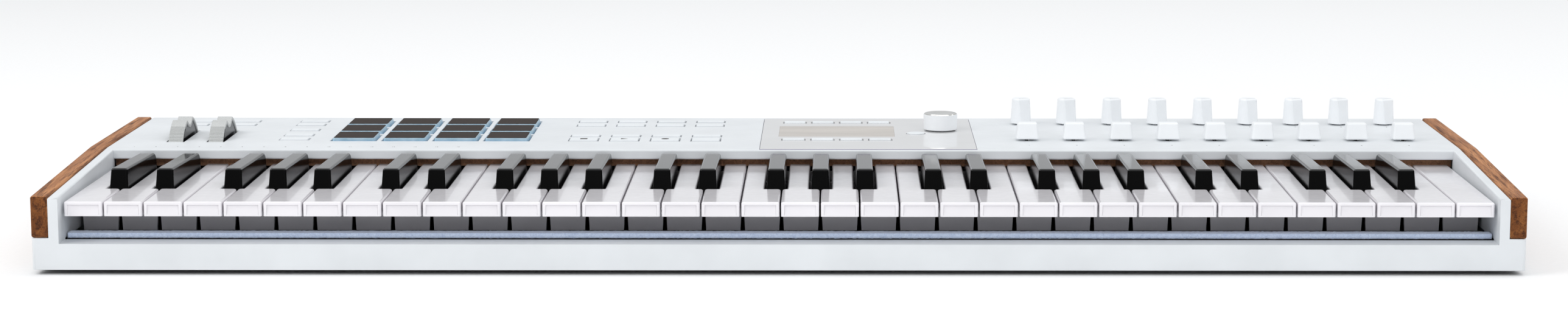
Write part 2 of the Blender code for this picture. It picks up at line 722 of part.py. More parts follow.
# ---- wheels -----------------------------------------------------------------------
def wheel_outline():
    """Side view of a wheel: a full-radius grip with a finger notch, and a lower hub."""
    points = []
    notch_angle = math.degrees(math.asin(WHEEL_NOTCH_HALF / WHEEL_RADIUS))
    steps = 14
    for index in range(steps + 1):
        angle = notch_angle + (WHEEL_GRIP_ARC - notch_angle) * index / steps
        points.append((WHEEL_RADIUS, angle))
    low_steps = 8
    for index in range(1, low_steps):
        angle = WHEEL_GRIP_ARC + (360.0 - 2 * WHEEL_GRIP_ARC) * index / low_steps
        points.append((WHEEL_LOW_RADIUS, angle))
    for index in range(steps, -1, -1):
        angle = notch_angle + (WHEEL_GRIP_ARC - notch_angle) * index / steps
        points.append((WHEEL_RADIUS, 360.0 - angle))
    lobe = WHEEL_RADIUS * math.cos(math.radians(notch_angle))
    outline = [
        (radius * math.sin(math.radians(angle)), radius * math.cos(math.radians(angle)))
        for radius, angle in points
    ]
    valley = 5
    for index in range(1, valley):
        share = index / valley
        across = WHEEL_NOTCH_HALF * (2 * share - 1)
        outline.append((across, lobe - WHEEL_NOTCH_DEPTH * math.sin(math.pi * share)))
    return outline


def make_wheel(name, x):
    """A thumb wheel on its axle."""
    centre = (x, back(WHEEL_BACK), WHEEL_HEIGHT)
    bm = bmesh.new()
    outline = [(a + centre[1], b + centre[2]) for a, b in wheel_outline()]
    add_prism(bm, outline, x - WHEEL_WIDTH / 2, WHEEL_WIDTH, plane="YZ")
    wheel = finish(name, bm, "silver_rubber", origin=centre, smooth=True)
    bm = bmesh.new()
    start = (x - WHEEL_WIDTH, centre[1], centre[2])
    add_round(bm, start, AXLE_RADIUS + AXLE_CLEAR, 2 * WHEEL_WIDTH, "X", 16)
    boolean(wheel, finish(f"{name}_bore", bm, origin=centre))


def make_wheel_bracket():
    """The bracket and axle that carry both wheels."""
    y = back(WHEEL_BACK)
    floor = BOTTOM_TOP + FIT
    spread = WHEEL_X[1] - WHEEL_X[0]
    walls = [WHEEL_X[0] - spread / 2, (WHEEL_X[0] + WHEEL_X[1]) / 2, WHEEL_X[1] + spread / 2]
    reach = 15.0
    bm = bmesh.new()
    for x in walls:
        low = (x - BRACKET_WALL / 2, y - reach, floor)
        add_box(bm, low, (x + BRACKET_WALL / 2, y + reach, WHEEL_HEIGHT + 7.0))
    low = (walls[0] - BRACKET_WALL / 2 + 0.1, y - reach + 0.1, floor + 0.1)
    add_box(bm, low, (walls[-1] + BRACKET_WALL / 2 - 0.1, y + reach - 0.1, floor + 2.0))
    bracket = finish("wheel_bracket", bm, "plated_steel")
    bm = bmesh.new()
    start = (walls[0] - 2.0, y, WHEEL_HEIGHT)
    add_round(bm, start, AXLE_RADIUS, walls[-1] - walls[0] + 4.0, "X", 16)
    boolean(bracket, finish("wheel_axle", bm), "UNION", self_join=True)


# ---- pads and buttons -------------------------------------------------------------
def add_cap(bm, plan, top, skirt):
    """A raised cap with sloping sides, standing on a mat."""
    x0, x1, y0, y1 = plan
    caps = add_box(bm, (x0, y0, MAT_TOP - MAT_THICK / 2), (x1, y1, top))
    middle_x = (x0 + x1) / 2 * MM
    middle_y = (y0 + y1) / 2 * MM
    for vert in caps:
        if vert.co.z > (MAT_TOP + 1.0) * MM:
            vert.co.x -= math.copysign(skirt * MM, vert.co.x - middle_x)
            vert.co.y -= math.copysign(skirt * MM, vert.co.y - middle_y)


def make_mat(name, finish_name, plans, sheet_outline, top, skirt, hole=None):
    """A moulded mat with one cap for each pad or button."""
    bm = bmesh.new()
    for plan in plans:
        add_cap(bm, plan, top, skirt)
    x = sum(point[0] for point in sheet_outline) / len(sheet_outline)
    y = sum(point[1] for point in sheet_outline) / len(sheet_outline)
    origin = (x, y, MAT_TOP)
    mat = finish(name, bm, finish_name, origin=origin)
    bm = bmesh.new()
    add_prism(bm, sheet_outline, MAT_TOP - MAT_THICK, MAT_THICK)
    boolean(mat, finish(f"{name}_sheet", bm, origin=origin), "UNION", self_join=True)
    if hole:
        bm = bmesh.new()
        x0, x1, y0, y1 = hole
        add_box(bm, (x0, y0, MAT_TOP - 5.0), (x1, y1, MAT_TOP + 5.0))
        boolean(mat, finish(f"{name}_hole", bm, origin=origin))
    return mat


def around(plans, edge):
    """Plan box around several plans, grown by an edge."""
    return (
        min(plan[0] for plan in plans) - edge,
        max(plan[1] for plan in plans) + edge,
        min(plan[2] for plan in plans) - edge,
        max(plan[3] for plan in plans) + edge,
    )


def corners(plan):
    """Corner points of a plan box."""
    x0, x1, y0, y1 = plan
    return [(x0, y0), (x1, y0), (x1, y1), (x0, y1)]


def make_mats():
    """The pad mat and the three button mats."""
    half = PAD_SIZE / 2
    pads = [(x - half, x + half, y - half, y + half) for x, y in pad_centres()]
    outline = corners(around(pads, MAT_EDGE))
    make_mat("pad_mat", "pad_silicone", pads, outline, PANEL_TOP + PAD_RISE, PAD_SKIRT)

    left, centre = button_windows(0.0)
    column = around(left[: len(LEFT_COLUMN_BACKS)], MAT_EDGE)
    wing = around(left[len(LEFT_COLUMN_BACKS) :], MAT_EDGE)
    outline = [
        (column[0], column[2]),
        (column[1], column[2]),
        (column[1], column[3]),
        (wing[0], column[3]),
        (wing[0], wing[2]),
        (column[0], wing[2]),
    ]
    top = PANEL_TOP + BUTTON_RISE
    make_mat("left_button_mat", "button_silicone", left, outline, top, 0.3)
    outline = corners(around(centre, MAT_EDGE))
    make_mat("centre_button_mat", "button_silicone", centre, outline, top, 0.3)


# ---- display ----------------------------------------------------------------------
def plate_low():
    """Height of the display plate's underside."""
    return PANEL_TOP + PLATE_PROUD - PLATE_THICK


def make_display():
    """The glossy plate, the screen under it, its buttons and the push encoder."""
    low = (PLATE_X[0], back(PLATE_FRONT_BACK), plate_low())
    high = (PLATE_X[1], back(PLATE_REAR_BACK), PANEL_TOP + PLATE_PROUD)
    plate = box_object("display_plate", low, high, "gloss_plate")
    under, over = plate_low() - 1.0, PANEL_TOP + PLATE_PROUD + 1.0
    boxes = [((a, c, under), (b, d, over)) for a, b, c, d in soft_button_windows(RUNNING)]
    boxes.append(
        (
            (SCREEN_X[0] - FIT, back(SCREEN_BACKS[0]) - FIT, under),
            (SCREEN_X[1] + FIT, back(SCREEN_BACKS[1]) + FIT, over),
        )
    )
    cut_boxes(plate, "plate_windows", boxes)
    bm = bmesh.new()
    round_centre = (ROUND_BUTTON[0], back(ROUND_BUTTON[1]), under)
    add_round(bm, round_centre, ROUND_BUTTON_RADIUS + RUNNING, over - under, sides=24)
    encoder_centre = (ENCODER_X, back(ENCODER_BACK), under)
    add_round(bm, encoder_centre, ENCODER_SHAFT_RADIUS + SHAFT_CLEAR, over - under, sides=16)
    boolean(plate, finish("plate_round_holes", bm))

    top = PANEL_TOP + PLATE_PROUD - 0.3
    low = (SCREEN_X[0], back(SCREEN_BACKS[0]), top - SCREEN_MODULE_THICK)
    box_object("display_module", low, (SCREEN_X[1], back(SCREEN_BACKS[1]), top), "screen_glass")

    soft = soft_button_windows(0.0)
    window = display_window()
    round_plan = (
        ROUND_BUTTON[0] - ROUND_BUTTON_RADIUS,
        ROUND_BUTTON[0] + ROUND_BUTTON_RADIUS,
        back(ROUND_BUTTON[1]) - ROUND_BUTTON_RADIUS,
        back(ROUND_BUTTON[1]) + ROUND_BUTTON_RADIUS,
    )
    sheet = (window[0] + 0.6, round_plan[1] + 1.6, window[2] + 0.6, window[3] - 0.6)
    hole = (SCREEN_X[0] - 1.0, SCREEN_X[1] + 1.0, back(SCREEN_BACKS[0]) - 1.0, back(SCREEN_BACKS[1]) + 1.0)
    top = PANEL_TOP + PLATE_PROUD + BUTTON_RISE
    mat = make_mat("display_button_mat", "button_silicone", soft, corners(sheet), top, 0.3, hole)
    bm = bmesh.new()
    centre = (ROUND_BUTTON[0], back(ROUND_BUTTON[1]), MAT_TOP - MAT_THICK / 2)
    add_round(bm, centre, ROUND_BUTTON_RADIUS, top - centre[2], sides=24)
    boolean(mat, finish("round_button", bm), "UNION")
    make_encoder()


def make_encoder():
    """The push encoder: a shaft that moves down, and a cap that turns on it."""
    centre = (ENCODER_X, back(ENCODER_BACK), SHAFT_FOOT)
    base = PANEL_TOP + PLATE_PROUD + ENCODER_GAP
    shaft_top = base + 6.0
    bm = bmesh.new()
    add_round(bm, centre, ENCODER_SHAFT_RADIUS, shaft_top - SHAFT_FOOT, sides=16)
    finish("encoder_shaft", bm, "plated_steel", origin=centre, smooth=True)
    bm = bmesh.new()
    origin = (ENCODER_X, back(ENCODER_BACK), base)
    tall = ENCODER_TOP - base
    add_round(bm, origin, ENCODER_RADIUS - 0.15, tall, sides=28, end_radius=ENCODER_RADIUS)
    top = [edge for edge in bm.edges if min(v.co.z for v in edge.verts) > (ENCODER_TOP - 0.1) * MM]
    bmesh.ops.bevel(
        bm,
        geom=top,
        offset=0.7 * MM,
        offset_type="OFFSET",
        segments=1,
        profile=0.5,
        affect="EDGES",
        material=-1,
    )
    cap = finish("encoder_knob", bm, "encoder_metal", origin=origin, smooth=True)
    bm = bmesh.new()
    start = (ENCODER_X, back(ENCODER_BACK), base - 1.0)
    bore = (ENCODER_SHAFT_RADIUS + FIT) / math.cos(math.pi / 16)
    add_round(bm, start, bore, shaft_top + FIT - start[2], sides=16)
    boolean(cap, finish("encoder_bore", bm, origin=origin))


# ---- knobs and faders -------------------------------------------------------------
def make_knobs():
    """Nine tapered knobs with one flat pointer facet, on their shafts."""
    base = PANEL_TOP + KNOB_GAP
    origin = (strip_x(0), back(KNOB_BACK), base)
    bm = bmesh.new()
    add_round(bm, origin, KNOB_BASE_RADIUS, KNOB_TOP - base, sides=20, end_radius=KNOB_TOP_RADIUS)
    turn = math.radians(KNOB_FLAT_TURN)
    facing = (math.cos(turn), math.sin(turn), 0.12)
    edge = [
        (origin[0] + KNOB_BASE_RADIUS * KNOB_FLAT * 1.12 * facing[0]) * MM,
        (origin[1] + KNOB_BASE_RADIUS * KNOB_FLAT * 1.12 * facing[1]) * MM,
        base * MM,
    ]
    cut = bmesh.ops.bisect_plane(
        bm,
        geom=bm.verts[:] + bm.edges[:] + bm.faces[:],
        plane_co=edge,
        plane_no=facing,
        clear_outer=True,
    )
    open_edges = [item for item in cut["geom_cut"] if isinstance(item, bmesh.types.BMEdge)]
    bmesh.ops.contextual_create(bm, geom=open_edges)
    shaft = (origin[0], origin[1], SHAFT_FOOT)
    first = finish("knob_1", bm, "knob_white", origin=origin, smooth=True)
    bm = bmesh.new()
    add_round(bm, shaft, SHAFT_RADIUS, base + 2.0 - SHAFT_FOOT, sides=12)
    stem = finish("knob_1_shaft", bm, origin=origin)
    boolean(first, stem, "UNION")
    for index in range(1, STRIPS):
        copy_strip(first, stem, f"knob_{index + 1}", index)


def copy_strip(first, helper, name, index):
    """Repeat a knob or a fader cap, with its helper, at another strip."""
    shift = (strip_x(index) - strip_x(0)) * MM
    stem = helper.copy()
    stem.name = f"{name}_shaft"
    stem.location.x += shift
    made = first.copy()
    made.name = name
    made.location.x += shift
    for item in (stem, made):
        bpy.context.scene.collection.objects.link(item)
    made.modifiers[0].object = stem


def make_faders():
    """Nine fader caps, each on a thin stem that runs in its slot."""
    base = PANEL_TOP + FADER_GAP
    origin = (strip_x(0), back(FADER_REST_BACK), base)
    bm = bmesh.new()
    half_x, half_y = FADER_BASE[0] / 2, FADER_BASE[1] / 2
    low = (origin[0] - half_x, origin[1] - half_y, base)
    cap = add_box(bm, low, (origin[0] + half_x, origin[1] + half_y, FADER_TOP_HEIGHT))
    for vert in cap:
        if vert.co.z > (FADER_TOP_HEIGHT - 1.0) * MM:
            vert.co.x -= math.copysign((FADER_BASE[0] - FADER_TOP[0]) / 2 * MM, vert.co.x - origin[0] * MM)
            vert.co.y -= math.copysign((FADER_BASE[1] - FADER_TOP[1]) / 2 * MM, vert.co.y - origin[1] * MM)
    top = [edge for edge in bm.edges if min(v.co.z for v in edge.verts) > (FADER_TOP_HEIGHT - 1.0) * MM]
    bmesh.ops.bevel(
        bm,
        geom=top,
        offset=0.7 * MM,
        offset_type="OFFSET",
        segments=1,
        profile=0.5,
        affect="EDGES",
        material=-1,
    )
    first = finish("fader_cap_1", bm, "knob_white", origin=origin)
    bm = bmesh.new()
    low = (origin[0] - FADER_STEM[0] / 2, origin[1] - FADER_STEM[1] / 2, SHAFT_FOOT)
    add_box(bm, low, (origin[0] + FADER_STEM[0] / 2, origin[1] + FADER_STEM[1] / 2, base + 2.0))
    stem = finish("fader_1_stem", bm, origin=origin)
    boolean(first, stem, "UNION")
    for index in range(1, STRIPS):
        copy_strip(first, stem, f"fader_cap_{index + 1}", index)


# ---- inside and rear --------------------------------------------------------------
def make_board():
    """The circuit board that carries the pots, faders and button contacts."""
    low = (BOARD_X[0], back(BOARD_BACKS[0]), BOARD_TOP - BOARD_THICK)
    box_object("panel_board", low, (BOARD_X[1], back(BOARD_BACKS[1]), BOARD_TOP), "circuit_board")


def make_jack_block():
    """One block of pedal jacks and round data sockets behind the rear wall."""
    wall = REAR - CASE_WALL - FIT
    low = (MIDI_X[0] - JACK_BODY_HALF - 2.0, wall - JACK_DEPTH - 2.0, JACK_HEIGHT - JACK_BODY_HALF)
    high = (JACK_X[-1] + JACK_BODY_HALF, wall, JACK_HEIGHT + JACK_BODY_HALF)
    block = box_object("jack_socket_block", low, high, "socket_black")
    bm = bmesh.new()
    for x in JACK_X:
        add_round(bm, (x, wall - 2.0, JACK_HEIGHT), JACK_COLLAR_RADIUS, REAR - wall + 2.0, "Y", 16)
    for x in MIDI_X:
        add_round(bm, (x, wall - 2.0, JACK_HEIGHT), MIDI_COLLAR_RADIUS, REAR - wall + 2.0, "Y", 16)
    boolean(block, finish("socket_collars", bm), "UNION")
    bm = bmesh.new()
    for x in JACK_X:
        start = (x, REAR - JACK_DEPTH, JACK_HEIGHT)
        add_round(bm, start, JACK_HOLE_RADIUS, JACK_DEPTH + 1.0, "Y", 16)
    for x in MIDI_X:
        start = (x, REAR - MIDI_RECESS, JACK_HEIGHT)
        add_round(bm, start, MIDI_RECESS_RADIUS, MIDI_RECESS + 1.0, "Y", 16)
    boolean(block, finish("socket_bores", bm))


def make_usb_socket():
    """The small metal shell of the data and power socket."""
    half_x, half_z = USB_SHELL[0] / 2, USB_SHELL[1] / 2
    low = (USB_X - half_x, REAR - USB_BODY_DEPTH, JACK_HEIGHT - half_z)
    socket = box_object("usb_socket", low, (USB_X + half_x, REAR, JACK_HEIGHT + half_z), "plated_steel")
    half_x, half_z = USB_MOUTH[0] / 2, USB_MOUTH[1] / 2
    low = (USB_X - half_x, REAR - USB_BODY_DEPTH + 2.0, JACK_HEIGHT - half_z)
    cut_boxes(socket, "usb_mouth", [(low, (USB_X + half_x, REAR + 1.0, JACK_HEIGHT + half_z))])


def make_power_switch():
    """A small slide switch in the rear wall."""
    wide, deep, tall = SWITCH_CARRIAGE
    wall = REAR - CASE_WALL - RUNNING
    origin = (SWITCH_X, wall, JACK_HEIGHT)
    bm = bmesh.new()
    low = (SWITCH_X - wide / 2, wall - deep, JACK_HEIGHT - tall / 2)
    add_box(bm, low, (SWITCH_X + wide / 2, wall, JACK_HEIGHT + tall / 2))
    switch = finish("power_switch", bm, "socket_black", origin=origin)
    bm = bmesh.new()
    half_x, half_z = SWITCH_NUB[0] / 2, SWITCH_NUB[1] / 2
    low = (SWITCH_X - half_x, wall - 1.0, JACK_HEIGHT - half_z)
    add_box(bm, low, (SWITCH_X + half_x, REAR - 0.2, JACK_HEIGHT + half_z))
    boolean(switch, finish("power_switch_nub", bm, origin=origin), "UNION")


for old in list(bpy.data.objects):
    bpy.data.objects.remove(old, do_unlink=True)
MATERIALS = {name: make_material(name, *values) for name, values in FINISHES.items()}
make_top_case()
make_cheek("left_wood_cheek", -1)
make_cheek("right_wood_cheek", 1)
make_bottom_plate()
make_feet()
make_keys()
make_felts()
make_chassis()
make_wheel("pitch_wheel", WHEEL_X[0])
make_wheel("modulation_wheel", WHEEL_X[1])
make_wheel_bracket()
make_mats()
make_display()
make_knobs()
make_faders()
make_board()
make_jack_block()
make_usb_socket()
make_power_switch()
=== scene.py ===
"""The finish of a 61-key synthesizer keyboard controller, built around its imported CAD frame.

X runs from the low keys to the high keys, the player sits at -Y and +Z is up. Pieces are
shaped in millimetres and turned into metres when they are finished.
"""

import math

import bmesh
import bpy
from mathutils import Matrix, Vector, noise


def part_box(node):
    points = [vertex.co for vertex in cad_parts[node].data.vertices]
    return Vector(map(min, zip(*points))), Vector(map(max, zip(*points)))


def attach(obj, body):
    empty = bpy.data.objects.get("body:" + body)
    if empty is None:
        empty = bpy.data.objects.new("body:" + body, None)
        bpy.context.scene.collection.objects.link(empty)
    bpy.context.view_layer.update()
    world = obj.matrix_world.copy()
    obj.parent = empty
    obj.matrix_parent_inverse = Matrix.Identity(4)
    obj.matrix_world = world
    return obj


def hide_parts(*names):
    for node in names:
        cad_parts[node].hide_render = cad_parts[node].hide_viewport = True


MM = 0.001

# ---- camera and light ----------------------------------------------------------------
CAMERA_PLACE = (0.03392, -1.98177, 0.34954)
CAMERA_YAW = 0.00565
CAMERA_PITCH = 0.15036
CAMERA_ROLL = 0.0018
CAMERA_LENS = 72.67
CAMERA_SHIFT = -0.04551
SENSOR_WIDTH = 36.0
SKY_COLOUR = (0.96, 0.98, 1.0)
SKY_STRENGTH = 0.66
FLOOR_HALF = 12000.0
# Each soft box: its place, the point it faces, its width and height, its watts and its colour.
SOFTBOXES = {
    "softbox_left": ((-1.9, -0.9, 1.9), (0, 0, 0), (1.6, 1.6), 24.0, (1.0, 0.985, 0.97)),
    "softbox_top": ((0.3, 0.5, 2.3), (0, 0, 0), (3.0, 1.2), 15.0, (1, 1, 1)),
    "softbox_right": ((2.4, 1.2, 2.0), (1.3, 0.9, 0), (1.6, 1.2), 10.0, (1, 1, 1)),
    "softbox_front": ((0.6, -2.6, 1.5), (0, 0, 0), (2.4, 0.8), 19.0, (1, 1, 1)),
}

# ---- case and cheeks -----------------------------------------------------------------
ARM_INSIDE = 424.0
FASCIA_FACE = 1.2
BASE_TOP = 22.1
SHOULDER_LOW = 30.0
SHORTEST_EDGE = 3.0
CASE_ROUNDING = 1.1
BASE_ROUNDING = 0.7
WINDOW_ROUNDING = 0.22
CHEEK_ROUNDING = 1.15

# ---- keys ----------------------------------------------------------------------------
OCTAVES = 5
WHITES_PER_OCTAVE = 7
WHITE_GAP = 1.0
WHITE_THICK = 8.7
WHITE_LENGTH = 148.4
KEY_ROUNDING = 1.15
KEY_LIP = 1.0
KEY_LIP_DEPTH = 1.1
KEY_SHOULDER = 2.0
BLACK_REAR_ROUND = 4.5
BLACK_ROUNDING = 1.35
LEG_SETBACK = 44.5
LEG_THICK = 3.0
LEG_FOOT = 15.6
LEG_TAPER = 1.0
BLACK_SETBACK = 50.0
BLACK_LENGTH = 86.5
BLACK_WIDTH = 12.1
BLACK_TOP_WIDTH = 9.8
BLACK_REAR_DROP = 2.4
BLACK_FRONT_SLANT = 4.6
BLACK_SIDE_GAP = 0.9
BLACK_OFFSETS = {1: -2.1, 2: 2.1, 4: -3.5, 5: 0.0, 6: 3.5}
TAIL_LOW = 33.0
TAIL_HIGH = 37.0
RAIL_LOW = 25.0
RAIL_DEPTH = 3.8
RAIL_TOPS = {"c_e_g_b": 36.4, "d_f_a": 30.4}
BLACK_RAIL_DEPTH = 6.0
BLACK_RAIL_LOW = 38.6
BLACK_RAIL_TOP = 42.0

# ---- felts ---------------------------------------------------------------------------
FELT_STEP = 1.1
FELT_LOFT = 0.35
FELT_SEED = 5
BACK_FELT_REACH = 2.0

# ---- wheels --------------------------------------------------------------------------
WHEEL_GRIP_ARC = 104.0
WHEEL_HUB_RADIUS = 26.0
WHEEL_NOTCH_HALF = 8.5
WHEEL_NOTCH_DEPTH = 4.0
RIB_START = 31.0
RIB_END = 78.0
RIB_STEP = 2.15
RIB_DEPTH = 0.32
WHEEL_ROUNDING = 0.3
WHEEL_RIM = 1.5
WHEEL_DISH = 0.6
WHEEL_DISH_WALL = 0.35
AXLE_HEIGHT = 35.8

# ---- knobs, faders and encoder -------------------------------------------------------
STRIPS = 9
KNOB_BASE_RADIUS = 6.9
KNOB_TOP_RADIUS = 5.9
KNOB_GAP = 1.0
KNOB_FLAT = 0.80
KNOB_FLAT_TURN = -62.0
KNOB_SHAFT_RADIUS = 3.0
KNOB_TOP_ROUNDING = 1.3
KNOB_FACET_ROUNDING = 0.6
KNOB_FOOT_ROUNDING = 0.35
FADER_BASE = (15.0, 13.0)
FADER_TOP = (12.6, 8.6)
FADER_GAP = 1.2
FADER_STEM = (1.2, 5.0)
FADER_CORNER = 1.5
FADER_ROUNDING = 1.0
ENCODER_BORE = 3.3
ENCODER_SKIRT = 0.6

# ---- panel ---------------------------------------------------------------------------
PAD_SKIRT = 1.4
SKIRT_CORNER = 1.2
PAD_CORNER = 0.9
MAT_THICK = 1.25
PLATE_ROUNDING = 0.16
SCREEN_FIT = 0.27
SCREEN_SUNK = 0.04
SCREEN_RIGHT = 76.0
LAMP_SHIFT = 2.6
LAMP_DEPTH = 0.9
MARK_HALF = 2.3
BUTTON_END_GAP = -0.1
PRINT_LIFT = 0.03
NUMBER_SIZE = 2.3
FRONT_NUMBERS = 16
FRONT_NUMBER_SHIFT = 8.0
FRONT_NUMBER_PLACE = -0.32
OCTAVE_NOTES = 12
FADER_NUMBER_SHIFT = 17.0
KNOB_NUMBER_SHIFT = 12.5

# ---- rear ----------------------------------------------------------------------------
JACK_X = (168.0, 188.0, 208.0, 228.0)
MIDI_X = (112.0, 140.0)
JACK_HEIGHT = 30.0
PIN_CIRCLE = 4.2
PINS = 5
SCREW_INSET = 14.0
SCREW_SHARES = (0.04, 0.22, 0.41, 0.59, 0.78, 0.96)


# ---- shape helpers -------------------------------------------------------------------
def box_mm(node):
    """Lowest and highest corner of a CAD node at rest, in millimetres."""
    low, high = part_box(node)
    return low / MM, high / MM


def add_block(bm, low, high):
    """Add a box between two corners and return its vertices."""
    low, high = Vector(low), Vector(high)
    place = Matrix.LocRotScale((low + high) / 2, None, high - low)
    return bmesh.ops.create_cube(bm, size=1.0, matrix=place)["verts"]


def add_slab(bm, outline, start, length, plane="XY"):
    """Extrude a flat outline along the axis that its plane leaves out."""
    place = {"XY": lambda a, b: (a, b, start), "YZ": lambda a, b: (start, a, b)}[plane]
    step = {"XY": (0, 0, length), "YZ": (length, 0, 0)}[plane]
    face = bm.faces.new([bm.verts.new(place(a, b)) for a, b in outline])
    made = bmesh.ops.extrude_face_region(bm, geom=[face])["geom"]
    moved = [item for item in made if isinstance(item, bmesh.types.BMVert)]
    bmesh.ops.translate(bm, vec=step, verts=moved)


def add_turned(bm, profile, centre, steps=48, along="Z"):
    """Spin a profile of (radius, height) points round an axis through the centre."""
    turn = {"Z": Matrix.Identity(3), "Y": Matrix.Rotation(-math.pi / 2, 3, "X")}[along]
    centre = Vector(centre)
    verts = [bm.verts.new(centre + turn @ Vector((radius, 0, height))) for radius, height in profile]
    edges = [bm.edges.new(pair) for pair in zip(verts, verts[1:])]
    bmesh.ops.spin(
        bm,
        geom=verts + edges,
        cent=centre,
        axis=turn @ Vector((0, 0, 1)),
        angle=2 * math.pi,
        steps=steps,
        use_merge=True,
    )
    bmesh.ops.remove_doubles(bm, verts=bm.verts, dist=0.0005)


def ordered_links(verts):
    """Each edge that touches these vertices, once, in the same order on every run."""
    return list(dict.fromkeys(edge for vert in verts for edge in vert.link_edges))


def edges_between(verts):
    """Edges whose two ends are both among these vertices."""
    chosen = set(verts)
    return [edge for edge in ordered_links(verts) if edge.verts[0] in chosen and edge.verts[1] in chosen]


def sharp(edges, degrees=30.0):
    """Those edges where two faces meet at more than this angle."""
    limit = math.radians(degrees)
    return [edge for edge in edges if len(edge.link_faces) == 2 and edge.calc_face_angle() > limit]


def soften(bm, edges, width, segments=3):
    """Round edges over."""
    return bmesh.ops.bevel(
        bm,
        geom=list(edges),
        offset=width,
        offset_type="OFFSET",
        segments=segments,
        profile=0.5,
        affect="EDGES",
        material=-1,
        clamp_overlap=False,
    )["faces"]


def upright(edge):
    """True for an edge that mostly rises."""
    run = edge.verts[0].co - edge.verts[1].co
    return abs(run.z) > 3 * math.hypot(run.x, run.y)


def copy_of(node):
    """A merged copy of a CAD node's mesh, in millimetres."""
    bm = bmesh.new()
    bm.from_mesh(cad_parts[node].data)
    bmesh.ops.scale(bm, vec=(1 / MM,) * 3, verts=bm.verts)
    bmesh.ops.remove_doubles(bm, verts=bm.verts, dist=0.002)
    bmesh.ops.dissolve_limit(bm, angle_limit=math.radians(0.6), verts=bm.verts, edges=bm.edges)
    return bm


def finish_piece(name, bm, materials, body="root", replaces=(), smooth=38.0):
    """Turn a bmesh into a piece that rides on a CAD body."""
    bmesh.ops.recalc_face_normals(bm, faces=bm.faces)
    bmesh.ops.scale(bm, vec=(MM,) * 3, verts=bm.verts)
    mesh = bpy.data.meshes.new(name)
    bm.to_mesh(mesh)
    bm.free()
    for material in materials:
        mesh.materials.append(material)
    mesh.shade_smooth()
    mesh.set_sharp_from_angle(angle=math.radians(smooth))
    piece = bpy.data.objects.new(name, mesh)
    bpy.context.scene.collection.objects.link(piece)
    if smooth < 180.0:
        even = piece.modifiers.new("even_shading", "WEIGHTED_NORMAL")
        even.keep_sharp = True
    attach(piece, body)
    if replaces:
        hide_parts(*replaces)
    return piece


def caps_of(node):
    """Plan boxes (x0, x1, y0, y1) and top height of each raised cap of a mat, in millimetres."""
    bm = copy_of(node)
    top = max(vert.co.z for vert in bm.verts)
    left = {face for face in bm.faces if face.normal.z > 0.99 and face.calc_center_median().z > top - 0.05}
    caps = []
    while left:
        patch, front = set(), [left.pop()]
        while front:
            face = front.pop()
            patch.add(face)
            near = {other for edge in face.edges for other in edge.link_faces} & left
            left -= near
            front.extend(near)
        xs = [vert.co.x for face in patch for vert in face.verts]
        ys = [vert.co.y for face in patch for vert in face.verts]
        caps.append((min(xs), max(xs), min(ys), max(ys)))
    bm.free()
    return sorted(caps, key=lambda cap: (round(cap[2]), cap[0])), top


# ---- material helpers ----------------------------------------------------------------
def start_material(name, colour, roughness, metallic=0.0, **sockets):
    """A Principled material, with any other sockets given by name."""
    material = bpy.data.materials.new(name)
    material.use_nodes = True
    shader = material.node_tree.nodes["Principled BSDF"]
    shader.inputs["Base Color"].default_value = (*colour, 1.0)
    shader.inputs["Roughness"].default_value = roughness
    shader.inputs["Metallic"].default_value = metallic
    for socket, value in sockets.items():
        shader.inputs[socket.replace("_", " ")].default_value = value
    material.diffuse_color = (*colour, 1.0)
    return material


def pattern(material, scale, stretch=(1, 1, 1), turn=(0, 0, 0), kind="Noise", **values):
    """A texture on object coordinates, with its scale in repeats for each metre."""
    tree = material.node_tree
    place = tree.nodes.new("ShaderNodeTexCoord")
    mapping = tree.nodes.new("ShaderNodeMapping")
    mapping.inputs["Scale"].default_value = stretch
    mapping.inputs["Rotation"].default_value = turn
    texture = tree.nodes.new(f"ShaderNodeTex{kind}")
    texture.inputs["Scale"].default_value = scale
    for socket, value in values.items():
        texture.inputs[socket].default_value = value
    tree.links.new(place.outputs["Object"], mapping.inputs["Vector"])
    tree.links.new(mapping.outputs["Vector"], texture.inputs["Vector"])
    return texture.outputs["Distance" if kind == "Voronoi" else "Fac"]


def stretched(material, source, low, high, out_low, out_high):
    """Carry a pattern from one range of values to another."""
    node = material.node_tree.nodes.new("ShaderNodeMapRange")
    for socket, value in zip(("From Min", "From Max", "To Min", "To Max"), (low, high, out_low, out_high)):
        node.inputs[socket].default_value = value
    material.node_tree.links.new(source, node.inputs["Value"])
    return node.outputs["Result"]


def colour_from(material, source, stops):
    """A colour ramp driven by a pattern."""
    node = material.node_tree.nodes.new("ShaderNodeValToRGB")
    ramp = node.color_ramp
    while len(ramp.elements) < len(stops):
        ramp.elements.new(0.5)
    for element, (place, colour) in zip(ramp.elements, stops):
        element.position = place
        element.color = (*colour, 1.0)
    material.node_tree.links.new(source, node.inputs["Fac"])
    return node.outputs["Color"]


def blended(material, factor, first, second, mode="MIX"):
    """Mix two colours by a pattern or by a number."""
    node = material.node_tree.nodes.new("ShaderNodeMix")
    node.data_type = "RGBA"
    node.blend_type = mode
    for socket, value in ((0, factor), (6, first), (7, second)):
        if isinstance(value, bpy.types.NodeSocket):
            material.node_tree.links.new(value, node.inputs[socket])
        elif isinstance(value, tuple):
            node.inputs[socket].default_value = (*value, 1.0)
        else:
            node.inputs[socket].default_value = value
    return node.outputs[2]


def feed(material, socket, source):
    """Link a pattern or colour to a socket of the material's shader."""
    shader = material.node_tree.nodes["Principled BSDF"]
    material.node_tree.links.new(source, shader.inputs[socket])


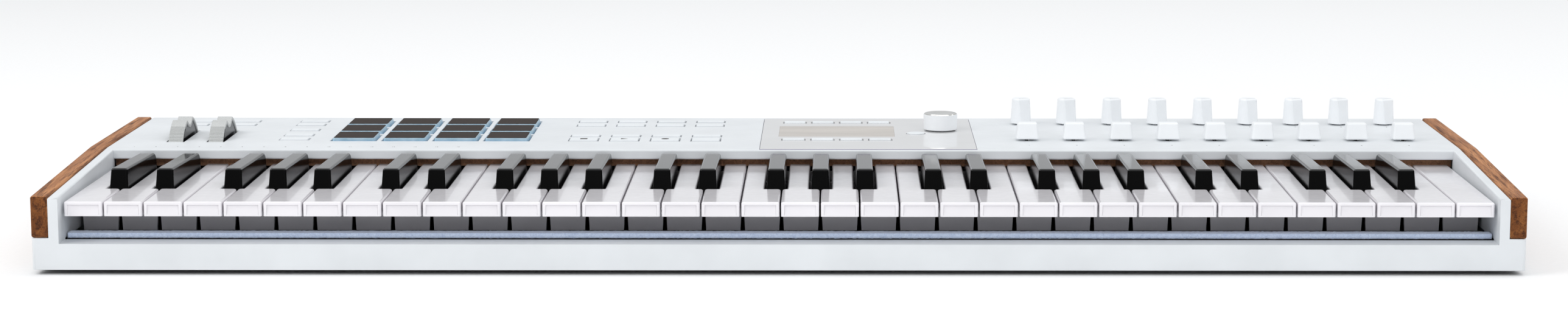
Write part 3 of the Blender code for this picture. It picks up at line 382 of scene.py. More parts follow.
def emboss(material, *layers):
    """Bump the surface with patterns, each with its depth in metres."""
    tree = material.node_tree
    normal = None
    for height, depth in layers:
        bump = tree.nodes.new("ShaderNodeBump")
        bump.inputs["Strength"].default_value = 1.0
        bump.inputs["Distance"].default_value = depth
        tree.links.new(height, bump.inputs["Height"])
        if normal:
            tree.links.new(normal, bump.inputs["Normal"])
        normal = bump.outputs["Normal"]
    feed(material, "Normal", normal)


# ---- materials -----------------------------------------------------------------------
def moulded_plastic(name, colour, roughness, grain=0.00002, grain_scale=2600.0, sink=0.000006, **sockets):
    """Moulded plastic: a fine spark-eroded grain, faint sink marks and uneven sheen."""
    material = start_material(name, colour, roughness, **sockets)
    cloud = pattern(material, 26.0, Detail=3.0, Roughness=0.55)
    darker = tuple(value * 0.955 for value in colour)
    lighter = tuple(min(value * 1.025, 1.0) for value in colour)
    feed(material, "Base Color", colour_from(material, cloud, [(0.3, darker), (0.7, lighter)]))
    sheen = pattern(material, 190.0, Detail=4.0, Roughness=0.6)
    low, high = roughness * 0.86, min(roughness * 1.16, 1.0)
    feed(material, "Roughness", stretched(material, sheen, 0.3, 0.7, low, high))
    fine = pattern(material, grain_scale, Detail=2.0, Roughness=0.6)
    emboss(material, (cloud, sink), (fine, grain))
    return material


def oiled_wood(name="oiled_wood", tone=1.0):
    """Open-pored hardwood with its grain along the cheek and an oiled, half-dull surface."""
    material = start_material(name, (0.30, 0.10, 0.03), 0.5, Specular_IOR_Level=0.22)
    turn = (math.radians(4.0), 0.0, math.radians(9.0))
    bands = pattern(material, 34.0, (4.2, 0.42, 4.2), turn, Detail=5.0, Roughness=0.62, Distortion=0.7)
    figure = pattern(material, 120.0, (3.0, 0.13, 3.0), turn, Detail=6.0, Roughness=0.68)
    pores = pattern(material, 620.0, (2.4, 0.055, 2.4), turn, Detail=3.0, Roughness=0.7)
    broad = colour_from(
        material,
        bands,
        [
            (0.28, (0.270, 0.095, 0.028)),
            (0.46, (0.400, 0.160, 0.052)),
            (0.6, (0.520, 0.225, 0.082)),
            (0.74, (0.620, 0.295, 0.118)),
        ],
    )
    streaks = colour_from(material, figure, [(0.37, (0.26, 0.19, 0.14)), (0.51, (1.0, 1.0, 1.0))])
    coloured = blended(material, 0.85, broad, streaks, "MULTIPLY")
    holes = colour_from(material, pores, [(0.36, (0.24, 0.19, 0.16)), (0.44, (1.0, 1.0, 1.0))])
    pored = blended(material, 0.85, coloured, holes, "MULTIPLY")
    shade = (tone, tone ** 1.3, tone ** 1.9)
    feed(material, "Base Color", blended(material, 1.0, pored, shade, "MULTIPLY"))
    feed(material, "Roughness", stretched(material, figure, 0.3, 0.7, 0.58, 0.38))
    open_pores = stretched(material, pores, 0.34, 0.46, 0.0, 1.0)
    emboss(material, (figure, 0.00006), (open_pores, 0.00009))
    return material


def woven_felt(name, dark, light, depth=0.0005):
    """Pressed wool felt: matted fibres at two sizes and a soft edge glow."""
    material = start_material(
        name, light, 0.96, Specular_IOR_Level=0.15, Sheen_Weight=0.55, Sheen_Roughness=0.6
    )
    clumps = pattern(material, 420.0, Detail=5.0, Roughness=0.75, Distortion=0.6)
    fibres = pattern(material, 2300.0, (1.0, 0.5, 0.6), (0.4, 0.7, 0.2), Detail=3.0, Roughness=0.8)
    matted = blended(material, 0.45, clumps, fibres)
    feed(material, "Base Color", colour_from(material, matted, [(0.34, dark), (0.62, light)]))
    emboss(material, (clumps, depth), (fibres, depth * 0.4))
    return material


def painted_steel(name, colour, roughness=0.52):
    """Powder-coated sheet steel with an orange-peel skin."""
    material = start_material(name, colour, roughness, Specular_IOR_Level=0.5)
    peel = pattern(material, 900.0, Detail=2.0, Roughness=0.5)
    dust = pattern(material, 55.0, Detail=4.0, Roughness=0.6)
    lighter = tuple(value * 1.5 + 0.004 for value in colour)
    feed(material, "Base Color", colour_from(material, dust, [(0.35, colour), (0.75, lighter)]))
    feed(material, "Roughness", stretched(material, dust, 0.3, 0.7, roughness * 0.85, roughness * 1.2))
    emboss(material, (peel, 0.00006))
    return material


def plated_metal(name, colour, roughness, brushed=(1, 1, 1)):
    """Bright metal with fine turning or drawing marks."""
    material = start_material(name, colour, roughness, 1.0)
    marks = pattern(material, 1500.0, brushed, Detail=3.0, Roughness=0.6)
    stain = pattern(material, 80.0, Detail=3.0, Roughness=0.5)
    dull = tuple(value * 0.86 for value in colour)
    feed(material, "Base Color", colour_from(material, stain, [(0.35, dull), (0.65, colour)]))
    feed(material, "Roughness", stretched(material, marks, 0.3, 0.7, roughness * 0.75, roughness * 1.3))
    emboss(material, (marks, 0.000008))
    return material


def speckled_rubber():
    """Silver-grey soft-touch grip of the wheels, flecked with metallic pigment."""
    material = start_material("wheel_grip", (0.42, 0.43, 0.42), 0.5, 0.25, Specular_IOR_Level=0.45)
    flecks = pattern(material, 3800.0, Detail=2.0, Roughness=0.7)
    cloud = pattern(material, 160.0, Detail=3.0, Roughness=0.6)
    greys = [(0.32, (0.42, 0.43, 0.425)), (0.5, (0.52, 0.53, 0.525)), (0.68, (0.64, 0.65, 0.645))]
    feed(material, "Base Color", colour_from(material, flecks, greys))
    feed(material, "Roughness", stretched(material, cloud, 0.3, 0.7, 0.42, 0.6))
    emboss(material, (flecks, 0.000012))
    return material


def pad_rubber():
    """Dark brown-grey silicone of the pad tops."""
    material = start_material("pad_top", (0.040, 0.031, 0.028), 0.7, Specular_IOR_Level=0.1)
    wear = pattern(material, 70.0, Detail=4.0, Roughness=0.6)
    fine = pattern(material, 1700.0, Detail=2.0, Roughness=0.6)
    browns = [(0.3, (0.034, 0.026, 0.023)), (0.7, (0.050, 0.040, 0.036))]
    feed(material, "Base Color", colour_from(material, wear, browns))
    feed(material, "Roughness", stretched(material, wear, 0.3, 0.7, 0.62, 0.78))
    emboss(material, (fine, 0.00003))
    return material


def clear_skirt():
    """Milky, light-guiding silicone round each pad."""
    material = start_material(
        "pad_skirt",
        (0.42, 0.56, 0.68),
        0.3,
        Subsurface_Weight=0.5,
        Subsurface_Scale=0.003,
        Subsurface_Radius=(0.8, 1.0, 1.2),
    )
    milk = pattern(material, 150.0, Detail=3.0, Roughness=0.6)
    blues = [(0.3, (0.27, 0.45, 0.60)), (0.7, (0.42, 0.59, 0.74))]
    feed(material, "Base Color", colour_from(material, milk, blues))
    feed(material, "Roughness", stretched(material, milk, 0.3, 0.7, 0.26, 0.42))
    emboss(material, (milk, 0.00002))
    return material


def screen_glass():
    """The display: a warm grey panel with faint rows under clear glass."""
    material = start_material("screen_glass", (0.55, 0.50, 0.46), 0.3, Specular_IOR_Level=0.3)
    rows = pattern(material, 1.0, (1.0, 2100.0, 1.0), Detail=0.0)
    haze = pattern(material, 14.0, (1.0, 4.0, 1.0), Detail=2.0, Roughness=0.5)
    warm = colour_from(material, haze, [(0.3, (0.50, 0.455, 0.41)), (0.7, (0.60, 0.555, 0.51))])
    feed(material, "Base Color", blended(material, 0.10, warm, rows, "MULTIPLY"))
    feed(material, "Roughness", stretched(material, haze, 0.3, 0.7, 0.16, 0.28))
    emboss(material, (haze, 0.000004))
    return material


def circuit_board():
    """Green solder mask with a copper pattern showing through."""
    material = start_material("board_green", (0.02, 0.11, 0.05), 0.4)
    tracks = pattern(material, 240.0, kind="Voronoi", Randomness=0.35)
    lines = colour_from(material, tracks, [(0.42, (0.018, 0.10, 0.045)), (0.5, (0.04, 0.19, 0.08))])
    feed(material, "Base Color", lines)
    feed(material, "Roughness", stretched(material, tracks, 0.2, 0.8, 0.5, 0.32))
    emboss(material, (tracks, 0.00003))
    return material


def floor_paper():
    """Seamless white paper."""
    material = start_material("floor_paper", (0.93, 0.93, 0.93), 0.9, Specular_IOR_Level=0.1)
    tooth = pattern(material, 300.0, Detail=3.0, Roughness=0.6)
    whites = [(0.3, (0.92, 0.92, 0.92)), (0.7, (0.94, 0.94, 0.94))]
    feed(material, "Base Color", colour_from(material, tooth, whites))
    feed(material, "Roughness", stretched(material, tooth, 0.3, 0.7, 0.85, 0.95))
    emboss(material, (tooth, 0.00002))
    return material


def make_materials():
    """All finishes by name."""
    key_sockets = {"Coat_Weight": 0.6, "Coat_Roughness": 0.06, "Specular_IOR_Level": 0.5}
    plate_sockets = {"Coat_Weight": 0.5, "Coat_Roughness": 0.03}
    black_grain = (0.000002, 1100.0, 0.000008)
    return {
        "case": moulded_plastic("case_plastic", (0.725, 0.75, 0.772), 0.44, grain=0.00003),
        "wood": oiled_wood(),
        "end_grain": oiled_wood("end_grain", 0.42),
        "white_key": moulded_plastic(
            "white_key", (0.835, 0.815, 0.845), 0.2, 0.000003, 900.0, 0.000010, **key_sockets
        ),
        "black_key": moulded_plastic(
            "black_key", (0.0035, 0.0035, 0.004), 0.10, *black_grain, Specular_IOR_Level=0.52
        ),
        # Painted shade: the sides and nose of the black keys get a darker copy of the same black plastic that
        # barely reflects.
        "black_key_shaded_side": moulded_plastic(
            "black_key_shaded_side", (0.0025, 0.0025, 0.0025), 0.12, *black_grain, Specular_IOR_Level=0.05
        ),
        "brown_felt": woven_felt("brown_felt", (0.28, 0.12, 0.06), (0.78, 0.40, 0.22)),
        "pale_felt": woven_felt("pale_felt", (0.42, 0.52, 0.74), (0.72, 0.82, 1.0)),
        "steel": painted_steel("black_steel", (0.020, 0.020, 0.023)),
        "grip": speckled_rubber(),
        "wheel_side": moulded_plastic(
            "wheel_side", (0.006, 0.006, 0.007), 0.16, 0.000002, 1500.0, Specular_IOR_Level=0.12
        ),
        "pad_top": pad_rubber(),
        "pad_skirt": clear_skirt(),
        "button": moulded_plastic(
            "button_rubber", (0.765, 0.795, 0.82), 0.4, 0.000012, 1800.0, Sheen_Weight=0.05
        ),
        "plate": moulded_plastic(
            "gloss_plate", (0.72, 0.718, 0.725), 0.07, 0.000001, 600.0, 0.000004, **plate_sockets
        ),
        # Painted shade: the plate's outer side faces are dark violet, standing for the shadowed gap round the
        # plate.
        "plate_edge_shade": moulded_plastic("plate_edge_shade", (0.34, 0.31, 0.44), 0.12, 0.000001, 900.0),
        "screen": screen_glass(),
        "knob": moulded_plastic("knob_plastic", (0.865, 0.885, 0.905), 0.36, 0.000014, 2200.0),
        # Painted shade: the sheet under the button caps is near black so the gaps round the caps show dark.
        "mat_sheet": moulded_plastic("mat_sheet", (0.05, 0.045, 0.055), 0.7, 0.00002, 1400.0),
        "encoder": plated_metal("encoder_metal", (0.83, 0.82, 0.79), 0.12),
        "board": circuit_board(),
        "socket": moulded_plastic("socket_black", (0.018, 0.018, 0.02), 0.35, 0.00002, 1400.0),
        "plated": plated_metal("plated_steel", (0.62, 0.62, 0.64), 0.26, (1.0, 0.2, 1.0)),
        "foot": moulded_plastic("foot_rubber", (0.022, 0.022, 0.022), 0.8, 0.00006, 1500.0),
        "print": moulded_plastic(
            "print_grey", (0.09, 0.085, 0.085), 0.5, 0.000004, 1500.0, Specular_IOR_Level=0.2
        ),
        "lamp_line": moulded_plastic("lamp_line", (0.42, 0.43, 0.37), 0.3, 0.000004, 1500.0),
    }


# ---- case ----------------------------------------------------------------------------
def make_case():
    """The white moulding with its outer edges and its windows rounded over."""
    low, high = box_mm("top_case")
    bm = copy_of("top_case")
    skin = high.z

    def outer(edge):
        middle = (edge.verts[0].co + edge.verts[1].co) / 2
        return middle.y > high.y - 0.05 or abs(middle.x) > ARM_INSIDE or middle.y < FASCIA_FACE

    def in_window(edge):
        return all(abs(vert.co.z - skin) < 0.02 for vert in edge.verts) and not outer(edge)

    broad = [
        edge
        for edge in sharp(bm.edges, 40.0)
        if min(vert.co.z for vert in edge.verts) > SHOULDER_LOW
        and outer(edge)
        and edge.calc_length() > SHORTEST_EDGE
        and edge.is_convex
    ]
    soften(bm, broad, CASE_ROUNDING, 3)
    low_edges = [
        edge
        for edge in sharp(bm.edges, 40.0)
        if edge.calc_length() > SHORTEST_EDGE and edge.is_convex and on_outer_wall(edge, low, high)
    ]
    soften(bm, low_edges, BASE_ROUNDING, 2)
    rims = [edge for edge in sharp(bm.edges, 40.0) if in_window(edge) and edge.is_convex]
    soften(bm, rims, WINDOW_ROUNDING, 2)
    finish_piece("case_moulding", bm, [MATERIALS["case"]], "root", ["top_case"])


def on_outer_wall(edge, low, high):
    """True for an edge of the base block that can be seen from outside."""
    a, b = edge.verts[0].co, edge.verts[1].co
    front = max(a.y, b.y) < low.y + 0.05
    rear = min(a.y, b.y) > high.y - 0.05
    side = min(abs(a.x), abs(b.x)) > high.x - 0.05
    return (front or rear or side) and max(a.z, b.z) < BASE_TOP


def make_cheeks():
    """The two wooden cheeks with their edges eased."""
    for side in ("left", "right"):
        node = f"{side}_wood_cheek"
        low, high = box_mm(node)
        bm = copy_of(node)
        corners = sorted({(round(vert.co.y, 2), round(vert.co.z, 2)) for vert in bm.verts})
        bm.free()
        front_top = max(z for y, z in corners if y < low.y + 1.2)
        bend = min(y for y, z in corners if z > high.z - 0.05)
        outline = [(low.y, low.z), (high.y, low.z), (high.y, high.z), (bend, high.z), (low.y, front_top)]
        bm = bmesh.new()
        add_slab(bm, outline, low.x, high.x - low.x, "YZ")
        soften(bm, sharp(bm.edges), CHEEK_ROUNDING, 4)
        for face in bm.faces:
            face.material_index = 1 if abs(face.normal.y) > 0.8 else 0
        materials = [MATERIALS["wood"], MATERIALS["end_grain"]]
        finish_piece(f"{side}_cheek", bm, materials, "root", [node])


# ---- keys ----------------------------------------------------------------------------
def white_plan(number, left, pitch, front):
    """Plan outline of a white key and the edges of its narrow rear part."""
    x0 = left + number * pitch + WHITE_GAP / 2
    x1 = x0 + pitch - WHITE_GAP
    step = number % WHITES_PER_OCTAVE
    shoulder = front + BLACK_SETBACK - BLACK_SIDE_GAP
    rear = front + WHITE_LENGTH
    cut = BLACK_WIDTH / 2 + BLACK_SIDE_GAP
    last = number == OCTAVES * WHITES_PER_OCTAVE
    tail_x0, tail_x1 = x0, x1
    if step in BLACK_OFFSETS:
        tail_x0 = x0 - WHITE_GAP / 2 + BLACK_OFFSETS[step] + cut
    if step + 1 in BLACK_OFFSETS and not last:
        tail_x1 = x1 + WHITE_GAP / 2 + BLACK_OFFSETS[step + 1] - cut
    points = [(x0, front), (x1, front)]
    if tail_x1 != x1:
        points += [(x1, shoulder), (tail_x1, shoulder)]
    points += [(tail_x1, rear), (tail_x0, rear)]
    if tail_x0 != x0:
        points += [(tail_x0, shoulder), (x0, shoulder)]
    return points, x0, x1, tail_x0, tail_x1


def make_white_key(name, body, plan, front, top):
    """A white key: rounded plate with a lipped front, hanging skirt and tail."""
    points, x0, x1, tail_x0, tail_x1 = plan
    bottom = top - WHITE_THICK
    bm = bmesh.new()
    add_slab(bm, points, bottom, WHITE_THICK)
    bmesh.ops.recalc_face_normals(bm, faces=bm.faces)
    shoulder_y = front + BLACK_SETBACK - BLACK_SIDE_GAP
    shoulders = [
        edge
        for edge in bm.edges
        if upright(edge) and edge.is_convex and abs(edge.verts[0].co.y - shoulder_y) < 0.1
    ]
    soften(bm, shoulders, KEY_SHOULDER, 4)
    rim = [edge for edge in sharp(bm.edges) if min(vert.co.z for vert in edge.verts) > top - 0.01]
    corners = [edge for edge in sharp(bm.edges) if upright(edge)]
    soften(bm, rim + corners, KEY_ROUNDING, 4)
    nose = max(
        (face for face in bm.faces if face.normal.y < -0.9 and face.calc_center_median().y < front + 0.1),
        key=lambda face: face.calc_area(),
    )
    bmesh.ops.inset_individual(bm, faces=[nose], thickness=KEY_LIP)
    bmesh.ops.inset_individual(bm, faces=[nose], thickness=0.3)
    lip_z = nose.calc_center_median().z
    for vert in nose.verts:
        if vert.co.z > lip_z:
            vert.co.y += KEY_LIP_DEPTH
    leg_y = front + LEG_SETBACK
    leg = add_block(bm, (x0, leg_y, LEG_FOOT), (x1, leg_y + LEG_THICK, bottom + 0.5))
    middle = (x0 + x1) / 2
    for vert in leg:
        if vert.co.z < LEG_FOOT + 1.0:
            vert.co.x -= math.copysign(LEG_TAPER, vert.co.x - middle)
    soften(bm, edges_between(leg), 0.35, 2)
    rear = front + WHITE_LENGTH
    tail = add_block(bm, (tail_x0 + 0.6, rear - 2.0, TAIL_LOW), (tail_x1 - 0.6, rear + 12.5, TAIL_HIGH))
    soften(bm, edges_between(tail), 0.3, 1)
    return finish_piece(name, bm, [MATERIALS["white_key"]], body)


def make_black_key(name, body, x, front, top, bottom):
    """A black key: a gloss wedge with rounded shoulders and a sloping nose, its sides and nose in a darker,
    duller copy of the black as painted shade.
    """
    rear = front + BLACK_LENGTH
    bm = bmesh.new()
    block = add_block(bm, (x - BLACK_WIDTH / 2, front, bottom), (x + BLACK_WIDTH / 2, rear, top))
    for vert in block:
        if vert.co.z > top - 1.0:
            vert.co.x -= math.copysign((BLACK_WIDTH - BLACK_TOP_WIDTH) / 2, vert.co.x - x)
            if vert.co.y < front + 1.0:
                vert.co.y += BLACK_FRONT_SLANT
            else:
                vert.co.z -= BLACK_REAR_DROP
    tail_edge = [
        edge for edge in bm.edges if all(v.co.z > top - 3.0 and v.co.y > rear - 0.1 for v in edge.verts)
    ]
    soften(bm, tail_edge, BLACK_REAR_ROUND, 6)
    low_rim = {edge for edge in bm.edges if max(vert.co.z for vert in edge.verts) < bottom + 0.1}
    soften(bm, [edge for edge in sharp(bm.edges, 35.0) if edge not in low_rim], BLACK_ROUNDING, 5)
    bmesh.ops.recalc_face_normals(bm, faces=bm.faces)
    half = BLACK_WIDTH / 2 - 0.8
    tail = add_block(bm, (x - half, rear - 2.0, TAIL_LOW + 1.2), (x + half, rear + 19.0, TAIL_HIGH + 2.2))
    soften(bm, edges_between(tail), 0.3, 1)
    # Faces that look up keep the glossy black. The sides and the nose take the darker copy: painted shade.
    for face in bm.faces:
        face.material_index = 0 if face.normal.z > 0.45 else 1
    materials = [MATERIALS["black_key"], MATERIALS["black_key_shaded_side"]]
    return finish_piece(name, bm, materials, body)


def make_hinge_rail(name, node, material, depth, low_z, high_z):
    """The moulded rail that joins the keys of one comb, above the hinge ridge."""
    low, high = box_mm(node)
    bm = bmesh.new()
    rail = add_block(bm, (low.x + 1.0, high.y - depth, low_z), (high.x - 1.0, high.y, high_z))
    soften(bm, edges_between(rail), 0.4, 2)
    finish_piece(name, bm, [MATERIALS[material]], node, [node])


def make_keys():
    """All 61 keys, each riding on the comb that it belongs to."""
    low, high = box_mm("keys_c_e_g_b_octave_1")
    pitch = (high.x - low.x + WHITE_GAP) / WHITES_PER_OCTAVE
    left = low.x - WHITE_GAP / 2
    front, top = low.y, high.z
    notes = {0: "c", 1: "d", 2: "e", 3: "f", 4: "g", 5: "a", 6: "b"}
    black_top = box_mm("keys_black_octave_1")[1].z
    for octave in range(OCTAVES):
        number = octave + 1
        for step, note in notes.items():
            comb = "c_e_g_b" if note in "cegb" else "d_f_a"
            plan = white_plan(octave * WHITES_PER_OCTAVE + step, left, pitch, front)
            make_white_key(f"white_key_{note}_{number}", f"keys_{comb}_octave_{number}", plan, front, top)
        for step, offset in BLACK_OFFSETS.items():
            x = left + (octave * WHITES_PER_OCTAVE + step) * pitch + offset
            name = f"black_key_{notes[step - 1]}_sharp_{number}"
            body = f"keys_black_octave_{number}"
            make_black_key(name, body, x, front + BLACK_SETBACK, black_top, top - WHITE_THICK)
        for comb, rail_top in RAIL_TOPS.items():
            node = f"keys_{comb}_octave_{number}"
            make_hinge_rail(f"rail_{comb}_{number}", node, "white_key", RAIL_DEPTH, RAIL_LOW, rail_top)
        node = f"keys_black_octave_{number}"
        make_hinge_rail(
            f"rail_black_{number}", node, "black_key", BLACK_RAIL_DEPTH, BLACK_RAIL_LOW, BLACK_RAIL_TOP
        )
    plan = white_plan(OCTAVES * WHITES_PER_OCTAVE, left, pitch, front)
    make_white_key("white_key_top_c", "key_top_c", plan, front, top)
    make_hinge_rail("rail_top_c", "key_top_c", "white_key", RAIL_DEPTH, RAIL_LOW, RAIL_TOPS["c_e_g_b"])


# ---- felts ---------------------------------------------------------------------------
def make_felt(name, node, material, reach=0.0):
    """A strip of felt: a fine mesh whose surface and edges are pushed about like matted wool."""
    low, high = box_mm(node)
    low.x -= reach
    high.x += reach
    bm = bmesh.new()
    add_block(bm, low, high)
    for axis in range(3):
        normal = Vector((0, 0, 0))
        normal[axis] = 1.0
        cuts = max(1, int((high[axis] - low[axis]) / (FELT_STEP if axis == 0 else FELT_STEP * 0.9)))
        for index in range(1, cuts):
            point = low.lerp(high, index / cuts)
            whole = bm.verts[:] + bm.edges[:] + bm.faces[:]
            bmesh.ops.bisect_plane(bm, geom=whole, plane_co=point, plane_no=normal)
    centre = (low + high) / 2
    noise.seed_set(FELT_SEED)
    for vert in bm.verts:
        push = noise.noise_vector(vert.co * 0.9) * 0.6 + noise.noise_vector(vert.co * 2.3) * 0.4
        inward = Vector((0, 0, 0))
        for axis in (1, 2):
            inward[axis] = 0.3 * ((vert.co[axis] < centre[axis]) - (vert.co[axis] > centre[axis]))
        vert.co += push * FELT_LOFT + inward * FELT_LOFT
    finish_piece(name, bm, [MATERIALS[material]], "root", [node], smooth=180.0)


# ---- wheels --------------------------------------------------------------------------
def wheel_outline(radius):
    """Side view of a wheel, as (across, up) from its axle: grip with ribs, hub arc and finger valley."""
    notch = math.degrees(math.asin(WHEEL_NOTCH_HALF / radius))
    points = []
    angle = -WHEEL_GRIP_ARC
    while angle < -RIB_END:
        points.append((radius, angle))
        angle += 4.0
    rib = -RIB_END
    while rib < -RIB_START:
        points += [
            (radius - RIB_DEPTH, rib),
            (radius - RIB_DEPTH, rib + RIB_STEP * 0.28),
            (radius, rib + RIB_STEP * 0.42),
            (radius, rib + RIB_STEP * 0.86),
        ]
        rib += RIB_STEP
    angle = rib + RIB_STEP * 0.4
    while angle < -notch - 1.0:
        points.append((radius, angle))
        angle += 2.6
    outline = [(r * math.sin(math.radians(a)), r * math.cos(math.radians(a))) for r, a in points]
    rise = radius * math.cos(math.radians(notch))
    valley = 12
    for index in range(valley + 1):
        share = index / valley
        across = WHEEL_NOTCH_HALF * (2 * share - 1)
        outline.append((across, rise - WHEEL_NOTCH_DEPTH * math.sin(math.pi * share) ** 1.3))
    points = []
    angle = notch + 2.6
    while angle < WHEEL_GRIP_ARC:
        points.append((radius, angle))
        angle += 3.0
    hub_arc = 360 - 2 * WHEEL_GRIP_ARC
    points += [(WHEEL_HUB_RADIUS, WHEEL_GRIP_ARC + hub_arc * index / 14) for index in range(15)]
    outline += [(r * math.sin(math.radians(a)), r * math.cos(math.radians(a))) for r, a in points]
    return outline


def disc_of(bm, side):
    """The largest face that looks left (-1) or right (1)."""
    facing = [face for face in bm.faces if face.normal.x * side > 0.9]
    return max(facing, key=lambda face: face.calc_area())


def make_wheel(name, node):
    """A thumb wheel: ribbed speckled rim round a gloss black disc."""
    low, high = box_mm(node)
    radius = (high.y - low.y) / 2
    centre_y = (low.y + high.y) / 2
    centre_z = AXLE_HEIGHT
    outline = [(centre_y + across, centre_z + up) for across, up in wheel_outline(radius)]
    bm = bmesh.new()
    add_slab(bm, outline, low.x, high.x - low.x, "YZ")
    bmesh.ops.recalc_face_normals(bm, faces=bm.faces)
    for side in (-1, 1):
        soften(bm, disc_of(bm, side).edges, WHEEL_ROUNDING, 2)
        disc = disc_of(bm, side)
        # An even offset would draw a spike out of the step between grip and hub.
        bmesh.ops.inset_region(bm, faces=[disc], thickness=WHEEL_RIM, use_even_offset=False)
        bmesh.ops.inset_region(
            bm, faces=[disc], thickness=WHEEL_DISH_WALL, depth=-WHEEL_DISH, use_even_offset=False
        )
        disc.material_index = 1
    finish_piece(name, bm, [MATERIALS["grip"], MATERIALS["wheel_side"]], node, [node], smooth=28.0)


# ---- pads and buttons ----------------------------------------------------------------
def rounded_cap(bm, plan, low, high, corner, edge, taper=0.0, segments=3):
    """A block with rounded upright corners, a softened top rim and sides that lean in."""
    x0, x1, y0, y1 = plan
    block = add_block(bm, (x0, y0, low), (x1, y1, high))
    middle = Vector(((x0 + x1) / 2, (y0 + y1) / 2, 0))
    for vert in block:
        if vert.co.z > (low + high) / 2:
            vert.co.x -= math.copysign(taper, vert.co.x - middle.x)
            vert.co.y -= math.copysign(taper, vert.co.y - middle.y)
    corners = [item for item in edges_between(block) if abs(item.verts[0].co.z - item.verts[1].co.z) > 0.1]
    soften(bm, corners, corner, 5)
    rim = [
        item
        for item in sharp(bm.edges)
        if min(vert.co.z for vert in item.verts) > high - 0.01
        and x0 - 0.1 < item.verts[0].co.x < x1 + 0.1
        and y0 - 0.1 < item.verts[0].co.y < y1 + 0.1
    ]
    soften(bm, rim, edge, segments)


def make_pads():
    """Twelve pads: a milky skirt with a dark top let into it."""
    caps, top = caps_of("pad_mat")
    low, high = box_mm("pad_mat")
    for number, (x0, x1, y0, y1) in enumerate(caps, 1):
        bm = bmesh.new()
        plan = (x0 - PAD_SKIRT, x1 + PAD_SKIRT, y0 - PAD_SKIRT, y1 + PAD_SKIRT)
        rounded_cap(bm, plan, low.z + 0.6, top - 0.35, SKIRT_CORNER, 0.5, PAD_SKIRT - 0.3)
        skirt_faces = set(bm.faces)
        rounded_cap(bm, (x0, x1, y0, y1), top - 1.2, top, PAD_CORNER, 0.4, 0.12)
        for face in bm.faces:
            face.material_index = 0 if face in skirt_faces else 1
        materials = [MATERIALS["pad_skirt"], MATERIALS["pad_top"]]
        finish_piece(f"pad_{number:02d}", bm, materials, "pad_mat")
    bm = bmesh.new()
    rounded_cap(bm, (low.x, high.x, low.y, high.y), low.z, low.z + 1.2, 3.0, 0.2)
    finish_piece("pad_mat_sheet", bm, [MATERIALS["pad_top"]], "pad_mat", ["pad_mat"])


def make_buttons(node, label):
    """The caps of one button mat, each a softly rounded block."""
    caps, top = caps_of(node)
    low = box_mm(node)[0]
    for number, (x0, x1, y0, y1) in enumerate(caps, 1):
        if node == "display_button_mat" and x0 > SCREEN_RIGHT:
            continue
        bm = bmesh.new()
        plan = (x0 + BUTTON_END_GAP, x1 - BUTTON_END_GAP, y0 - 0.3, y1 + 0.3)
        rounded_cap(bm, plan, low.z + 0.6, top, 0.7, 0.45, 0.12)
        finish_piece(f"{label}_{number:02d}", bm, [MATERIALS["button"]], node)
    return caps, top


def make_mat_sheet(name, node):
    """The thin sheet under a mat's caps, from the lower part of the CAD mesh, coloured near black as painted
    shade in the gaps round the caps.
    """
    low = box_mm(node)[0]
    bm = copy_of(node)
    bmesh.ops.bisect_plane(
        bm,
        geom=bm.verts[:] + bm.edges[:] + bm.faces[:],
        plane_co=(0, 0, low.z + MAT_THICK),
        plane_no=(0, 0, 1),
        clear_outer=True,
    )
    bmesh.ops.holes_fill(bm, edges=[edge for edge in bm.edges if edge.is_boundary])
    finish_piece(name, bm, [MATERIALS["mat_sheet"]], node, [node])


def make_print(name, outline, height, body, material="print"):
    """A thin printed mark on a surface."""
    bm = bmesh.new()
    add_slab(bm, outline, height, PRINT_LIFT)
    finish_piece(name, bm, [MATERIALS[material]], body)


def make_transport_marks(caps, top):
    """Stop, play and record marks on the front row of the centre buttons."""
    half = MARK_HALF
    for mark, (x0, x1, y0, y1) in zip(("stop", "play", "record"), caps):
        x, y = (x0 + x1) / 2, (y0 + y1) / 2
        if mark == "stop":
            outline = [(x - half, y - half), (x + half, y - half), (x + half, y + half), (x - half, y + half)]
        elif mark == "play":
            outline = [(x - half, y - half), (x + half, y), (x - half, y + half)]
        else:
            turns = [2 * math.pi * index / 24 for index in range(24)]
            outline = [(x + half * 1.1 * math.cos(turn), y + half * 1.1 * math.sin(turn)) for turn in turns]
        make_print(f"mark_{mark}", outline, top, "centre_button_mat")


def make_numbers(name, entries, height):
    """A row of small printed numbers, each entry its text and its middle."""
    bm = bmesh.new()
    for text, x, y in entries:
        curve = bpy.data.curves.new(name, "FONT")
        curve.body = text
        curve.size = NUMBER_SIZE
        curve.extrude = PRINT_LIFT / 2
        curve.align_x, curve.align_y = "CENTER", "CENTER"
        holder = bpy.data.objects.new(name, curve)
        bpy.context.scene.collection.objects.link(holder)
        bpy.context.view_layer.update()
        mesh = bpy.data.meshes.new_from_object(holder)
        mesh.transform(Matrix.Translation((x, y, height + PRINT_LIFT / 2)))
        bm.from_mesh(mesh)
        bpy.data.objects.remove(holder)
    finish_piece(name, bm, [MATERIALS["print"]])


def make_panel_numbers():
    """1 to 16 over the lowest keys, and 1 to 9 in front of the faders and the knobs."""
    panel = box_mm("top_case")[1].z
    low, high = box_mm("keys_c_e_g_b_octave_1")
    note = (high.x - low.x + WHITE_GAP) / OCTAVE_NOTES
    front = box_mm("display_plate")[0].y + FRONT_NUMBER_SHIFT
    row = [(str(n), low.x + note * (n + FRONT_NUMBER_PLACE), front) for n in range(1, FRONT_NUMBERS + 1)]
    make_numbers("front_numbers", row, panel)
    fader_row = box_mm("fader_cap_1")[0].y - FADER_NUMBER_SHIFT
    for name, y in (("fader_numbers", fader_row), ("knob_numbers", knob_row - KNOB_NUMBER_SHIFT)):
        make_numbers(name, [(str(strip), x, y) for strip, x in STRIP_X.items()], panel)


